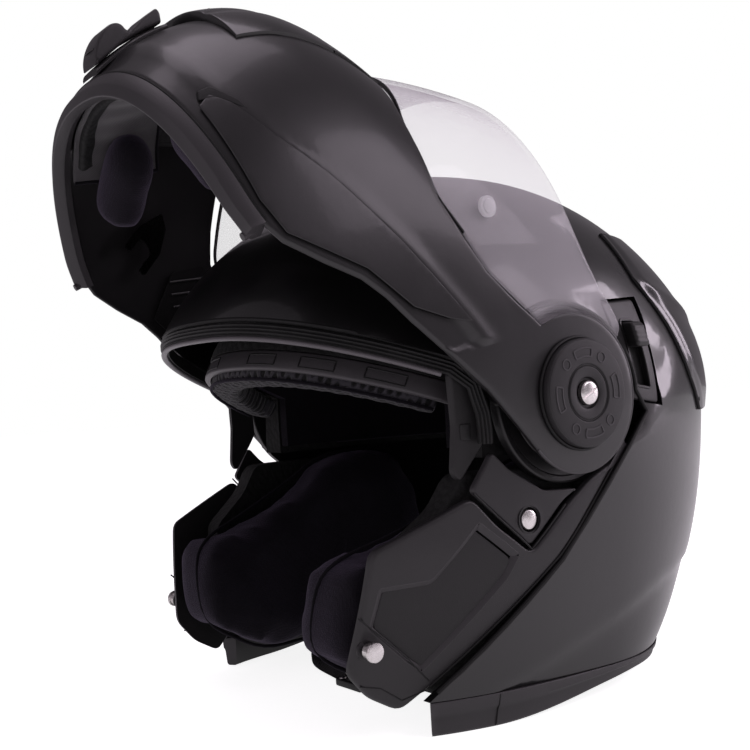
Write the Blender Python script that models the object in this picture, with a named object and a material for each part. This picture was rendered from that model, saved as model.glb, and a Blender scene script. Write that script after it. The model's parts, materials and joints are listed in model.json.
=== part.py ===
"""Modular (flip-up) motorcycle helmet, shown with the chin bar raised.

The helmet faces -Y, the wearer's left side is +X and +Z is up; z = 0 is the plane that it stands on.
All dimensions below are millimetres and are turned into metres when a mesh is made.
Pieces of the chin bar and of the visor are drawn in the closed position, relative to the pivot,
and hang on an empty at the pivot that turns them up by OPEN_ANGLE.
"""

import math

import bmesh
import bpy
from mathutils import Matrix, Vector

MM = 0.001
GAP = 0.4  # clearance between neighbours

# ---- driving dimensions -------------------------------------------------------------------------
PIVOT_Z = 143.0  # height of the chin bar's hinge axis, which runs through y = 0
OPEN_ANGLE = math.radians(83)  # from closed to fully raised

SHELL_WIDTH = 118.0  # half width at the widest section
SHELL_CENTRE = (20.0, 140.0)  # y and z of the widest section's centre
SHELL_FRONT = 160.0
SHELL_REAR = 150.0
SHELL_CROWN = 122.0
SHELL_WALL = 4.0
FRONT_POWER = 2.5
REAR_POWER = 2.2
TRIM_TOP = 15.0  # top of the edge trim, where the shell starts
ARCH_RISE = 9.0  # how far the edge trim's lower side arches up along each side
ARCH_FROM = (-45.0, 50.0)  # y over which it rises
ARCH_TO = (78.0, 97.0)

BROW_FRONT = (-128.0, 186.0)  # y and z of the eye port's edge at the centre line
BROW_SLOPE = -0.36
TEMPLE = (-47.0, 112.0)
EDGE_LINE = ((50.0, 132.0), (-10.0, 69.0), (-71.0, 19.0))  # front edge of the shell above the neck

CHIN_WIDTH = 121.5
CHIN_REACH = 197.0
CHIN_REACH_Z = 50.0  # height at which the chin reaches furthest forward
CHIN_POWER = 2.3
CHIN_WALL = 3.6
LAP = 0.25  # how far a joined plate stands proud of its neighbour
LOBE_RADIUS = 36.0
DISC_RADIUS = 24.5
VENT_SPAN = 28.0  # half angle of the front vent's cover

VISOR_WALL = 1.7

LEVER_LIFT = 3.6  # how far the release lever's back is off the chin
LEVER_WIDTH = 7.0
LEVER_HINGE = (0, -197.4, 27.0)

LATCH_PIN = (-102.0, 42.0)
CATCH = (-27.0, 89.0)
SUN_AXIS = (2.0, 118.0)
SUN_RADIUS = 127.0
SUN_WIDTH = 104.0
SUN_POWER = 2.2
SUN_SLACK = 4.5  # free space on either side of the sun visor

BROW_DROP = 6.0  # how far the brow's trim and pad start below the eye port's edge
BACK_SHIFT = 3.5  # puts the middle of the bounding box at y = 0


# ---- surfaces -----------------------------------------------------------------------------------
def shell_section(z, inset=0.0):
    """Half width, front and rear reach and centre y of the shell's horizontal section at height z."""
    height = (z - SHELL_CENTRE[1]) / (SHELL_CROWN - inset)
    if height >= 0:
        scale = math.sqrt(max(0.0, 1 - height**2))
        sizes = [(size - inset) * scale for size in (SHELL_WIDTH, SHELL_FRONT, SHELL_REAR)]
        sizes[2] *= 1 - 0.1 * height
    else:
        depth = (SHELL_CENTRE[1] - z) / SHELL_CENTRE[1]
        sizes = [
            SHELL_WIDTH - 12 * depth**2 - inset,
            SHELL_FRONT - 8 * depth**2 - inset,
            SHELL_REAR * (1 - 0.1 * depth - 0.42 * depth**3.0) - inset,
        ]
    return (*sizes, SHELL_CENTRE[0])


def chin_section(z, inset=0.0):
    """The same for the chin bar, closed; it has a front half only."""
    width = CHIN_WIDTH - 0.0008 * (PIVOT_Z - z) ** 2
    bend = 0.0095 if z > CHIN_REACH_Z else 0.0068
    reach = CHIN_REACH - bend * (min(z, 112.0) - CHIN_REACH_Z) ** 2
    return (width - inset, reach - inset, reach - inset, 0.0)


def visor_section(z, inset=0.0):
    """The same for the visor, closed. Its centre line leans back as it rises."""
    width = CHIN_WIDTH - 1.4 - 0.0008 * (PIVOT_Z - z) ** 2
    reach = 170.0 - 0.12 * (z - 110) - 0.0019 * (z - 110) ** 2
    return (width - inset, reach - inset, reach - inset, 0.0)


def ring_point(section, angle, power_front, power_rear):
    """A point of a section; angle 0 is the front centre and 90 degrees the wearer's left."""
    width, front, rear, centre = section
    power = power_front if math.cos(angle) >= 0 else power_rear
    reach = front if math.cos(angle) >= 0 else rear
    x = width * math.copysign(abs(math.sin(angle)) ** (2 / power), math.sin(angle))
    y = centre - reach * math.copysign(abs(math.cos(angle)) ** (2 / power), math.cos(angle))
    return x, y


def side_x(section, y, power_front, power_rear):
    """Half width of a section at a given y."""
    width, front, rear, centre = section
    reach, power = (front, power_front) if y < centre else (rear, power_rear)
    share = min(0.9999, abs(y - centre) / reach)
    return width * (1 - share**power) ** (1 / power)


def shell_x(y, z, inset=0.0):
    return side_x(shell_section(z, inset), y, FRONT_POWER, REAR_POWER)


def chin_x(y, z, inset=0.0):
    return side_x(chin_section(z, inset), y, CHIN_POWER, CHIN_POWER)


def visor_x(y, z, inset=0.0):
    return side_x(visor_section(z, inset), y, CHIN_POWER, CHIN_POWER)


def jaw_x(y, z, inset=0.0):
    """Outer face of the jaw's side plates, which run straighter forward than the shell."""
    ahead = max(0.0, SHELL_CENTRE[0] - y) / 121
    below = max(0.0, 83 - z) / 83
    return 115.2 - 20 * ahead**2.2 - 20 * below**1.5 - inset


def brow_z(y):
    return BROW_FRONT[1] + BROW_SLOPE * (y - BROW_FRONT[0])


# ---- building blocks ----------------------------------------------------------------------------
def material(name, colour, roughness, metallic=0.0, alpha=1.0):
    made = bpy.data.materials.get(name)
    if made:
        return made
    made = bpy.data.materials.new(name)
    made.use_nodes = True
    shader = made.node_tree.nodes["Principled BSDF"]
    shader.inputs["Base Color"].default_value = (*colour, 1)
    shader.inputs["Roughness"].default_value = roughness
    shader.inputs["Metallic"].default_value = metallic
    shader.inputs["Alpha"].default_value = alpha
    return made


def link(name, bm, look, parent=None, origin=None, sharp=35.0):
    """Turns a bmesh in millimetres into a smooth-shaded object with its origin at `origin`."""
    base = Vector((0, 0, PIVOT_Z)) if parent else Vector((0, 0, 0))
    origin = base if origin is None else Vector(origin)
    bmesh.ops.remove_doubles(bm, verts=bm.verts, dist=0.01)
    bmesh.ops.recalc_face_normals(bm, faces=bm.faces)
    bmesh.ops.transform(bm, matrix=Matrix.Translation(-origin), verts=bm.verts)
    bmesh.ops.scale(bm, vec=(MM, MM, MM), verts=bm.verts)
    mesh = bpy.data.meshes.new(name)
    bm.to_mesh(mesh)
    bm.free()
    mesh.shade_smooth()
    mesh.set_sharp_from_angle(angle=math.radians(sharp))
    mesh.materials.append(look)
    obj = bpy.data.objects.new(name, mesh)
    obj.location = (origin - base) * MM
    bpy.context.scene.collection.objects.link(obj)
    if parent:
        obj.parent = parent
    return obj


def helper(obj):
    obj.hide_render = True
    obj.display_type = "WIRE"
    return obj


def boolean(obj, cutter, operation="DIFFERENCE"):
    modifier = obj.modifiers.new(operation.lower(), "BOOLEAN")
    modifier.operation = operation
    modifier.solver = "EXACT"
    modifier.object = cutter
    return obj


def grid(rows, closed_rows=False, closed_columns=False):
    """A skin of quads over rows of points."""
    bm = bmesh.new()
    verts = [[bm.verts.new(point) for point in row] for row in rows]
    across = len(verts[0]) if closed_rows else len(verts[0]) - 1
    down = len(verts) if closed_columns else len(verts) - 1
    for i in range(down):
        for j in range(across):
            corners = [
                verts[i][j],
                verts[i][(j + 1) % len(verts[0])],
                verts[(i + 1) % len(verts)][(j + 1) % len(verts[0])],
                verts[(i + 1) % len(verts)][j],
            ]
            bm.faces.new(corners)
    return bm


def layered(outer_rows, inner_rows):
    """A closed plate between two grids of the same size: both skins and the wall along their edge."""
    bm = bmesh.new()
    skins = []
    for rows in (outer_rows, inner_rows):
        skins.append([[bm.verts.new(point) for point in row] for row in rows])
    high, wide = len(outer_rows), len(outer_rows[0])
    for index, verts in enumerate(skins):
        for i in range(high - 1):
            for j in range(wide - 1):
                corners = [verts[i][j], verts[i][j + 1], verts[i + 1][j + 1], verts[i + 1][j]]
                bm.faces.new(corners if index == 0 else corners[::-1])
    edge = [(0, j) for j in range(wide)] + [(i, wide - 1) for i in range(1, high)]
    edge += [(high - 1, j) for j in range(wide - 2, -1, -1)] + [(i, 0) for i in range(high - 2, 0, -1)]
    for (i, j), (k, m) in zip(edge, edge[1:] + edge[:1]):
        bm.faces.new([skins[0][k][m], skins[0][i][j], skins[1][i][j], skins[1][k][m]])
    return bm


def draped(outline, surface, outer, inner, side=1, step=14.0):
    """A plate that follows surface(y, z, inset) inside a side-view outline of (y, z) points."""
    flat = bmesh.new()
    flat.faces.new([flat.verts.new((0, y, z)) for y, z in outline])
    for axis, normal in ((1, (0, 1, 0)), (2, (0, 0, 1))):
        values = [point[axis - 1] for point in outline]
        count = int((max(values) - min(values)) // step)
        for index in range(1, count + 1):
            place = [0, 0, 0]
            place[axis] = min(values) + index * (max(values) - min(values)) / (count + 1)
            geometry = flat.verts[:] + flat.edges[:] + flat.faces[:]
            bmesh.ops.bisect_plane(flat, geom=geometry, plane_co=place, plane_no=normal, dist=0.01)
    bmesh.ops.triangulate(flat, faces=[face for face in flat.faces if len(face.verts) > 4])
    bm = bmesh.new()
    layers = []
    for inset in (outer, inner):
        layers.append([
            bm.verts.new((side * surface(vert.co.y, vert.co.z, inset), vert.co.y, vert.co.z))
            for vert in flat.verts
        ])
    flat.verts.index_update()
    for face in flat.faces:
        indices = [vert.index for vert in face.verts]
        bm.faces.new([layers[0][i] for i in indices])
        bm.faces.new([layers[1][i] for i in reversed(indices)])
    for edge in flat.edges:
        if len(edge.link_faces) == 1:
            i, j = (vert.index for vert in edge.verts)
            bm.faces.new([layers[0][i], layers[0][j], layers[1][j], layers[1][i]])
    flat.free()
    return bm


def prism(name, outline, low_x, high_x):
    """A cutter: a side-view outline of (y, z) points pushed through along X."""
    bm = bmesh.new()
    face = bm.faces.new([bm.verts.new((low_x, y, z)) for y, z in outline])
    made = bmesh.ops.extrude_face_region(bm, geom=[face])
    moved = [item for item in made["geom"] if isinstance(item, bmesh.types.BMVert)]
    bmesh.ops.translate(bm, vec=(high_x - low_x, 0, 0), verts=moved)
    return helper(link(name, bm, material("guide", (1, 0, 0), 1)))


def turned(profile, segments=32):
    """A solid turned about the X axis from (x, radius) points; both ends lie on the axis."""
    bm = bmesh.new()
    rings = []
    for x, radius in profile:
        if radius == 0:
            rings.append([bm.verts.new((x, 0, 0))])
            continue
        turn = [2 * math.pi * index / segments for index in range(segments)]
        rings.append([bm.verts.new((x, radius * math.cos(a), radius * math.sin(a))) for a in turn])
    for low, high in zip(rings, rings[1:]):
        for index in range(segments):
            after = (index + 1) % segments
            if len(low) == 1:
                bm.faces.new([low[0], high[index], high[after]])
            elif len(high) == 1:
                bm.faces.new([low[index], high[0], low[after]])
            else:
                bm.faces.new([low[index], high[index], high[after], low[after]])
    return bm


def tube(route, sizes, sides=10, up=(0, 0, 1), ups=None):
    """A soft bar along `route`: an oval section with half sizes (across, along up) at each point."""
    bm = bmesh.new()
    rings = []
    points = [Vector(point) for point in route]
    for index, point in enumerate(points):
        ahead = points[min(index + 1, len(points) - 1)] - points[max(index - 1, 0)]
        across = ahead.cross(Vector(ups[index] if ups else up)).normalized()
        lift = across.cross(ahead).normalized()
        wide, high = sizes[index]
        ring = []
        for step in range(sides):
            angle = 2 * math.pi * step / sides
            ring.append(bm.verts.new(point + across * wide * math.cos(angle) + lift * high * math.sin(angle)))
        rings.append(ring)
    for low, high in zip(rings, rings[1:]):
        for step in range(sides):
            after = (step + 1) % sides
            bm.faces.new([low[step], low[after], high[after], high[step]])
    bm.faces.new(rings[0][::-1])
    bm.faces.new(rings[-1])
    return bm


def arc(centre, radius, start, end, count):
    """Points (y, z) on a circle between two angles in degrees; 0 points back and 90 up."""
    turns = [math.radians(start + (end - start) * index / (count - 1)) for index in range(count)]
    return [(centre[0] + radius * math.cos(a), centre[1] + radius * math.sin(a)) for a in turns]


def moved(bm, place):
    bmesh.ops.transform(bm, matrix=Matrix.Translation(Vector(place)), verts=bm.verts)
    return bm


def mirrored(bm):
    bmesh.ops.transform(bm, matrix=Matrix.Scale(-1, 4, (1, 0, 0)), verts=bm.verts)
    return bm


def both_sides(name, build, look, parent=None, origin=None):
    """Makes NAME_l and its mirror image NAME_r from one function that returns a bmesh."""
    link(name + "_l", build(), look, parent, origin)
    other = origin and (-origin[0], origin[1], origin[2])
    link(name + "_r", mirrored(build()), look, parent, other)


# ---- looks --------------------------------------------------------------------------------------
GLOSS = material("gloss_black", (0.02, 0.02, 0.022), 0.12)
SATIN = material("satin_charcoal", (0.075, 0.072, 0.075), 0.38)
GREY = material("grey_plastic", (0.16, 0.155, 0.16), 0.5)
BLACK = material("matte_black_plastic", (0.012, 0.012, 0.013), 0.55)
RUBBER = material("gasket_rubber", (0.03, 0.03, 0.032), 0.6)
FOAM = material("polystyrene", (0.02, 0.02, 0.02), 0.9)
KNIT = material("knit_fabric", (0.03, 0.024, 0.036), 0.95)
TWILL = material("twill_fabric", (0.17, 0.165, 0.175), 0.9)
STRAP = material("webbing", (0.015, 0.015, 0.017), 0.85)
STEEL = material("steel", (0.75, 0.74, 0.72), 0.25, 1.0)
CLEAR = material("clear_polycarbonate", (0.9, 0.88, 0.92), 0.05, 0.0, 0.25)
SMOKE = material("smoked_polycarbonate", (0.02, 0.02, 0.025), 0.08, 0.0, 0.7)


# ---- fixed shell and its trims ------------------------------------------------------------------
def dome_rows(inset, low_z, around, levels):
    """Rings from the lower edge up to the crown; below the widest section they are evenly spaced."""
    heights = [low_z + (SHELL_CENTRE[1] - low_z) * index / levels for index in range(levels)]
    top = SHELL_CROWN - inset
    heights += [SHELL_CENTRE[1] + top * math.sin(math.radians(90 * i / levels)) for i in range(levels)]
    rows = []
    for z in heights:
        section = shell_section(z, inset)
        turns = [2 * math.pi * step / around for step in range(around)]
        rows.append([(*ring_point(section, a, FRONT_POWER, REAR_POWER), z) for a in turns])
    return rows, (0, SHELL_CENTRE[0], SHELL_CENTRE[1] + top)


def dome(outer, inner, low_z, around=48, levels=8):
    """A dome with a wall between two insets from the shell's outer face, open below."""
    bm = bmesh.new()
    rims = []
    for inset in (outer, inner):
        rows, pole = dome_rows(inset, low_z, around, levels)
        verts = [[bm.verts.new(point) for point in row] for row in rows]
        tip = bm.verts.new(pole)
        for low, high in zip(verts, verts[1:]):
            for step in range(around):
                after = (step + 1) % around
                bm.faces.new([low[step], low[after], high[after], high[step]])
        for step in range(around):
            bm.faces.new([verts[-1][step], verts[-1][(step + 1) % around], tip])
        rims.append(verts[0])
    for step in range(around):
        after = (step + 1) % around
        bm.faces.new([rims[0][after], rims[0][step], rims[1][step], rims[1][after]])
    return bm


def front_outline(grow=0.0):
    """Side view of everything that is cut away ahead of the shell: eye port, hinge pocket and jaw."""
    far = -260.0
    low, mid, top = EDGE_LINE[2], EDGE_LINE[1], EDGE_LINE[0]
    slope = (top[1] - low[1]) / (top[0] - low[0])
    foot = (low[0] - 60, low[1] - 60 * slope)
    outline = [(far, brow_z(far) + grow), (-60 + grow, brow_z(-60) + grow)]
    outline += [(TEMPLE[0] + 6 + grow, 140 + grow)]
    outline += arc((0, PIVOT_Z), 42 + grow, 165, 0, 10)
    outline += [(top[0] + grow, top[1] - grow), (mid[0] + grow, mid[1] - grow), (low[0] + grow, low[1] - grow)]
    outline += [foot, (far, foot[1])]
    return outline


def make_shell():
    shell = link("shell", dome(0, SHELL_WALL, TRIM_TOP + GAP, 40, 6), GLOSS)
    boolean(shell, prism("face_cutter", front_outline(), -200, 200))
    boolean(shell, prism("slider_hole", [(37, 138), (63, 134), (58, 188), (30, 186)], 60, 160))


def ease(value):
    value = min(1.0, max(0.0, value))
    return value * value * (3 - 2 * value)


def trim_foot(y):
    """Height of the edge trim's lower side: an arch between the front feet and the rear foot."""
    rise = ease((y - ARCH_FROM[0]) / (ARCH_FROM[1] - ARCH_FROM[0]))
    fall = ease((y - ARCH_TO[0]) / (ARCH_TO[1] - ARCH_TO[0]))
    return ARCH_RISE * (rise - fall)


def make_base_trim():
    """Edge trim that the helmet stands on: a ring band open at the jaw."""
    start, end = math.radians(57), math.radians(303)
    outer, inner = [], []
    for share, lean in ((0.0, 2.0), (1.0, 0.0)):
        for rows, inset in ((outer, lean), (inner, 7.5)):
            row = []
            for step in range(49):
                angle = start + (end - start) * step / 48
                x, y = ring_point(shell_section(TRIM_TOP, inset), angle, FRONT_POWER, REAR_POWER)
                foot = trim_foot(y)
                row.append((x, y, foot + (TRIM_TOP - foot) * share))
            rows.append(row)
    link("base_trim", layered(outer, inner), SATIN)


def jaw_outline():
    low, mid, top = EDGE_LINE[2], EDGE_LINE[1], EDGE_LINE[0]
    return [
        (-108, 32), (-101, 83), (-56, 101.5), (-44, 88), (-27, 74.5), (-6, 93), (10, 104), (25, 110),
        (top[0] - 14, top[1] - 12), (mid[0] - 1.6, mid[1] + 1.6), (low[0] - 1.6, low[1] + 1.6), (-84, 12),
        (-98, 20),
    ]


PANEL_OUTLINE = [
    (-100, 69), (-76, 70), (-52, 94), (-30, 76), (-36, 66), (-77, 26), (-85, 32), (-104, 50),
]
PANEL_MIDDLE = (-74, 56)


def panel_outline(scale):
    (y0, z0) = PANEL_MIDDLE
    return [(y0 + scale * (y - y0), z0 + scale * (z - z0)) for y, z in PANEL_OUTLINE]


def make_jaw():
    """The satin side plates with their recessed inserts, the catch plates and the temple trims."""
    def insert():
        return draped(panel_outline(0.8), jaw_x, 1.4, 3.2)

    def temple_trim():
        outline = [(-46, 122), (-42, 128), (-43, 146), (-50, 158), (-59, 156), (-58, 132), (-60, 112), (-57, 108)]
        return draped(outline, jaw_x, 5.6, 9.0)

    catch_outline = [(-55, 104), (-27, 77.5), (-7, 95.5), (2, 100), (-18, 101), (-36, 112), (-44, 120)]
    recess = prism("panel_recess", panel_outline(0.88), -200, 200)
    countersink = helper(link("countersink", moved(turned([(-200, 0), (-200, 6), (200, 6), (200, 0)], 20),
                                                   (0, *CATCH)), BLACK))
    for side, letter in ((1, "l"), (-1, "r")):
        plate = link("side_plate_" + letter, draped(jaw_outline(), jaw_x, 0, 3.2, side), SATIN)
        boolean(plate, recess)
        catch = link("catch_plate_" + letter, draped(catch_outline, jaw_x, 1.0, 4.0, side), SATIN)
        boolean(catch, countersink)
    both_sides("side_panel", insert, SATIN)
    both_sides("temple_trim", temple_trim, GREY)


def make_fasteners():
    y, z = LATCH_PIN
    foot = jaw_x(y, z) + 1.8

    def pin():
        profile = [(0, 0), (0, 3.4), (3.4, 3.4), (3.4, 2.6), (4.0, 2.6), (4.0, 4.3), (5.2, 4.3), (5.8, 3.6), (5.8, 0)]
        return moved(turned(profile, 20), (foot, y, z))

    def catch_screw():
        foot = jaw_x(*CATCH) - 4.0
        profile = [(0, 0), (0, 4.6), (2.4, 4.6), (3.2, 3.4), (3.2, 0)]
        return moved(turned(profile, 20), (foot, *CATCH))

    both_sides("latch_pin", pin, STEEL)
    both_sides("catch_screw", catch_screw, STEEL)


def make_gasket():
    """Rubber seal along the eye port's upper edge, down to the temples."""
    route = []
    for step in range(-12, 13):
        angle = math.radians(64 * step / 12)
        z = 172.0
        for _ in range(6):
            x, y = ring_point(shell_section(z, 2.4), angle, FRONT_POWER, REAR_POWER)
            z = brow_z(y) - 4.4
        route.append((x, y, z))
    temple = [(shell_x(y, z, 2.8), y, z) for y, z in ((-53, 147), (-47.5, 136), (-47.5, 124))]
    route = [(-x, y, z) for x, y, z in reversed(temple)] + route + temple
    ups = [(x, y - SHELL_CENTRE[0], 0) for x, y, z in route]
    link("eye_port_gasket", tube(route, [(3.2, 2.6)] * len(route), 8, ups=ups), RUBBER)


def make_brow_trim():
    """Grey plastic carrier of the brow lining, behind the sun visor's slot."""
    link("brow_trim", brow_band((-SUN_SLACK - 0.5, -SUN_SLACK - 3.5), 10.0, 65), GREY)


def make_hinge_base():
    def base():
        profile = [(0, 0), (0, 40.5), (5.0, 40.5), (5.0, 0)]
        return moved(turned(profile, 32), (105.0, 0, PIVOT_Z))

    both_sides("hinge_base", base, BLACK)


def make_slider():
    """Frame and knob of the sun visor's slide, on the wearer's left."""
    outline = [(38, 139), (61.5, 135), (57, 187), (31, 185)]
    frame = link("slider_frame", draped(outline, shell_x, 1.2, 4.8), SATIN)
    boolean(frame, prism("slider_slot", [(43, 145), (55, 143), (51, 176), (40, 176)], 60, 160))
    knob = draped([(41.8, 163), (51.8, 163), (50.3, 175), (40.7, 175)], shell_x, -5.5, 5.0, step=20)
    link("slider_knob", knob, BLACK)


def spoiler_side(z):
    """Where the spoiler's side edge runs, as y at height z."""
    return follow_up(((129, 111), (147, 97), (174, 81), (197, 64), (224, 62)), z)


def follow_up(points, z):
    """Straight-line reading of a list of (z, y) points that runs upwards."""
    for (z0, y0), (z1, y1) in zip(points, points[1:]):
        if z <= z1:
            return y0 + (y1 - y0) * (z - z0) / (z1 - z0)
    return points[-1][1]


def make_spoiler():
    """Exhaust spoiler across the upper rear of the shell."""
    outer, inner = [], []
    rows = 7
    for level in range(rows):
        share = level / (rows - 1)
        z = 130 + 92 * share
        swell = 1.9 + 1.6 * math.sin(math.pi * (1 - share) ** 1.5)
        for stack, lift in ((outer, swell), (inner, 3 * GAP)):
            section = shell_section(z, -lift)
            reach = (spoiler_side(z) - SHELL_CENTRE[0]) / section[2]
            spread = math.acos(min(1.0, reach) ** (REAR_POWER / 2))
            turns = [math.pi - spread + 2 * spread * step / 28 for step in range(29)]
            stack.append([(*ring_point(section, a, FRONT_POWER, REAR_POWER), z + lift * 0.4) for a in turns])
    link("rear_spoiler", layered(outer, inner), GLOSS)


# ---- lining -------------------------------------------------------------------------------------
def make_liners():
    plane = BROW_DROP - GAP
    edge = [(-260, brow_z(-260) - plane), (-38, brow_z(-38) - plane), (-38, 90), (-260, 90)]
    liner = link("crown_liner", dome(13.5, 33, 117, 32, 5), FOAM)
    boolean(liner, prism("liner_cutter", edge, -200, 200))
    boolean(liner, helper(link("sun_pocket", sun_band((-SUN_SLACK, 34), 90, (95, 0), (205, 0), 6), FOAM)))
    comfort = link("comfort_liner", dome(35.2, 41.5, 121, 28, 4), KNIT)
    boolean(comfort, prism("comfort_cutter", edge, -200, 200))

    def cheek_liner():
        outline = [(-84, 34), (-83, 80), (-62, 96), (-52, 111), (50, 111), (60, 60), (50, 16), (-60, 12)]
        return draped(outline, jaw_x, 11.5, 24.0, step=22)

    both_sides("cheek_liner", cheek_liner, FOAM)


def pad_x(y, z, inset):
    """Face of the cheek pad, whose front end also fills the room ahead of its foam."""
    roll = 16.0 * ease((-93.0 - y) / 0.5) if inset < 30 else 0.0
    return jaw_x(y, z, inset - roll)


def make_pads():
    def cheek_pad():
        outline = [
            (-103, 34), (-102, 66), (-94, 76), (-74, 86), (-40, 100), (-10, 116), (36, 116), (58, 84), (50, 30), (30, 12),
            (-70, 12),
        ]
        return draped(outline, pad_x, 24.5, 47.0, step=16)

    both_sides("cheek_pad", cheek_pad, KNIT)
    outer, inner = [], []
    for z, thickness in ((4, 14), (14, 19), (40, 14)):
        for stack, inset in ((outer, 12.5), (inner, 12.5 + thickness)):
            section = shell_section(max(z, TRIM_TOP), inset)
            turns = [math.radians(118 + 124 * step / 20) for step in range(21)]
            stack.append([(*ring_point(section, a, FRONT_POWER, REAR_POWER), z) for a in turns])
    link("neck_roll", layered(outer, inner), KNIT)
    link("brow_pad", brow_band((-SUN_SLACK - 4, -SUN_SLACK - 20), 9.0, 62), KNIT)


def make_straps():
    """Chin strap: two webbing ends, a padded sleeve on each, and the ratchet buckle."""
    def sleeve():
        route = [(59, -18, 70), (55, -24, 52), (49, -30, 34), (41, -36, 18)]
        return tube(route, [(3.2, 12), (3.4, 13), (3.4, 13), (3.2, 12)], 8, up=(0, 1, 0.3))

    both_sides("strap_pad", sleeve, KNIT)
    left = [(40, -37, 14.5), (36, -40, 8.5), (28, -43, 4.6), (18.5, -45, 3.0)]
    right = [(-x, y, z) for x, y, z in left]
    right[-1] = (-8, -45, 3.0)
    link("strap_l", tube(left, [(11, 0.9)] * 4, 8), STRAP)
    link("strap_r", tube(right, [(11, 0.9)] * 4, 8), STRAP)
    bm = bmesh.new()
    bmesh.ops.create_cube(bm, size=1, matrix=Matrix.Diagonal((22, 26, 4.2, 1)))
    link("buckle", moved(bm, (5, -45, 3.1)), BLACK)
    lever = bmesh.new()
    bmesh.ops.create_cube(lever, size=1, matrix=Matrix.Diagonal((18, 16, 2.6, 1)))
    link("buckle_lever", moved(lever, (5, -45, 7.0)), STEEL, origin=(-3, -45, 7.0))


# ---- sun visor ----------------------------------------------------------------------------------
def sun_point(angle, tilt, offset=0.0):
    """A point of the sun visor's face: a superellipse turned about the sun visor's own hinge axis."""
    x = (SUN_WIDTH + offset) * math.copysign(abs(math.sin(angle)) ** (2 / SUN_POWER), angle)
    reach = max(6.0, (SUN_RADIUS + offset) * abs(math.cos(angle)) ** (2 / SUN_POWER))
    return (x, SUN_AXIS[0] + reach * math.cos(tilt), SUN_AXIS[1] + reach * math.sin(tilt))


def sun_band(offsets, half_angle, start, end, rows):
    """A plate between two offsets of that face; start and end are (tilt, what it loses at the sides)."""
    stacks = []
    for offset in offsets:
        stack = []
        for step in range(-10, 11):
            angle = math.radians(half_angle * step / 10)
            low, high = (tilt - loss * (step / 10) ** 2 for tilt, loss in (start, end))
            tilts = [math.radians(low + (high - low) * row / (rows - 1)) for row in range(rows)]
            stack.append([sun_point(angle, tilt, offset) for tilt in tilts])
        stacks.append(stack)
    return layered(*stacks)


def brow_tilt(angle, offset, drop):
    """Where the sun visor's face, moved by offset, passes `drop` below the eye port's edge."""
    low, high = math.radians(95), math.radians(230)
    for _ in range(30):
        middle = (low + high) / 2
        x, y, z = sun_point(angle, middle, offset)
        if z > brow_z(y) - drop:
            low = middle
        else:
            high = middle
    return low


def brow_band(offsets, height, half_angle):
    """A band along the brow, `height` tall, between two offsets of the sun visor's face."""
    stacks = []
    for offset in offsets:
        stack = []
        for step in range(-10, 11):
            angle = math.radians(half_angle * step / 10)
            drops = (BROW_DROP, BROW_DROP + height)
            stack.append([sun_point(angle, brow_tilt(angle, offset, drop), offset) for drop in drops])
        stacks.append(stack)
    return layered(*stacks)


def make_sun_visor():
    """A smoked screen, stowed between the shell and the crown liner."""
    link("sun_visor", sun_band((0, -2.0), 86, (100, 0), (147, 24), 5), SMOKE, origin=(0, *SUN_AXIS))


# ---- chin bar, drawn closed ---------------------------------------------------------------------
def chin_edge_high(y):
    """Upper edge of the chin bar in side view, closed, ahead of the hinge lobe."""
    points = ((-30, 129), (-60, 104), (-94, 90), (-130, 92), (-160, 101), (-180, 108))
    return follow(points, y)


def chin_edge_low(y):
    """Lower edge of the chin bar's outer shell in side view, closed."""
    points = ((-30, 88), (-45, 61), (-66, 44), (-84, 14), (-100, 8), (-172, -9), (-205, -14))
    return follow(points, y)


def follow(points, y):
    """Straight-line reading of a list of (y, z) points that runs forward, towards -Y."""
    if y >= points[0][0]:
        return points[0][1]
    for (y0, z0), (y1, z1) in zip(points, points[1:]):
        if y >= y1:
            return z0 + (z1 - z0) * (y - y0) / (y1 - y0)
    return points[-1][1]


def chin_band(low, high, outer, inner, columns, rows_count, span, section=chin_section):
    """A plate of the chin bar between two side-view edges, wrapped round the front."""
    outer_rows, inner_rows = [], []
    for row in range(rows_count):
        share = row / (rows_count - 1)
        for stack, inset in ((outer_rows, outer), (inner_rows, inner)):
            line = []
            for step in range(columns):
                angle = math.radians(-span + 2 * span * step / (columns - 1))
                z = 40.0
                for _ in range(8):
                    x, y = ring_point(section(z, inset), angle, CHIN_POWER, CHIN_POWER)
                    z = low(y) + share * (high(y) - low(y))
                line.append((x, y, z))
            stack.append(line)
    return layered(outer_rows, inner_rows)


def lobe_outline(radius, reach_y):
    """Side view of the hinge lobe and the arm that carries it forward to reach_y."""
    outline = arc((0, PIVOT_Z), radius, -52, 205, 22)
    outline += [(y, chin_edge_high(y) + LAP) for y in (-45, -60, -94, reach_y)]
    outline += [(reach_y, chin_edge_low(reach_y) - LAP), (-84.3, 13.7), (-66, 43.7), (-45, 61), (-28, 76), (-10, 92)]
    return outline


def make_chin_shell(parent):
    """Painted outer shell of the chin bar with a round lobe at each hinge."""
    band = chin_band(chin_edge_low, chin_edge_high, 0, CHIN_WALL, 37, 6, 64)
    shell = link("chin_bar_shell", band, GLOSS, parent)
    for side, letter in ((1, "l"), (-1, "r")):
        lobe = draped(lobe_outline(LOBE_RADIUS, -99), chin_x, -LAP, 4.6, side, 18)
        boolean(shell, helper(link("lobe_" + letter, lobe, GLOSS, parent)), "UNION")


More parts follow.
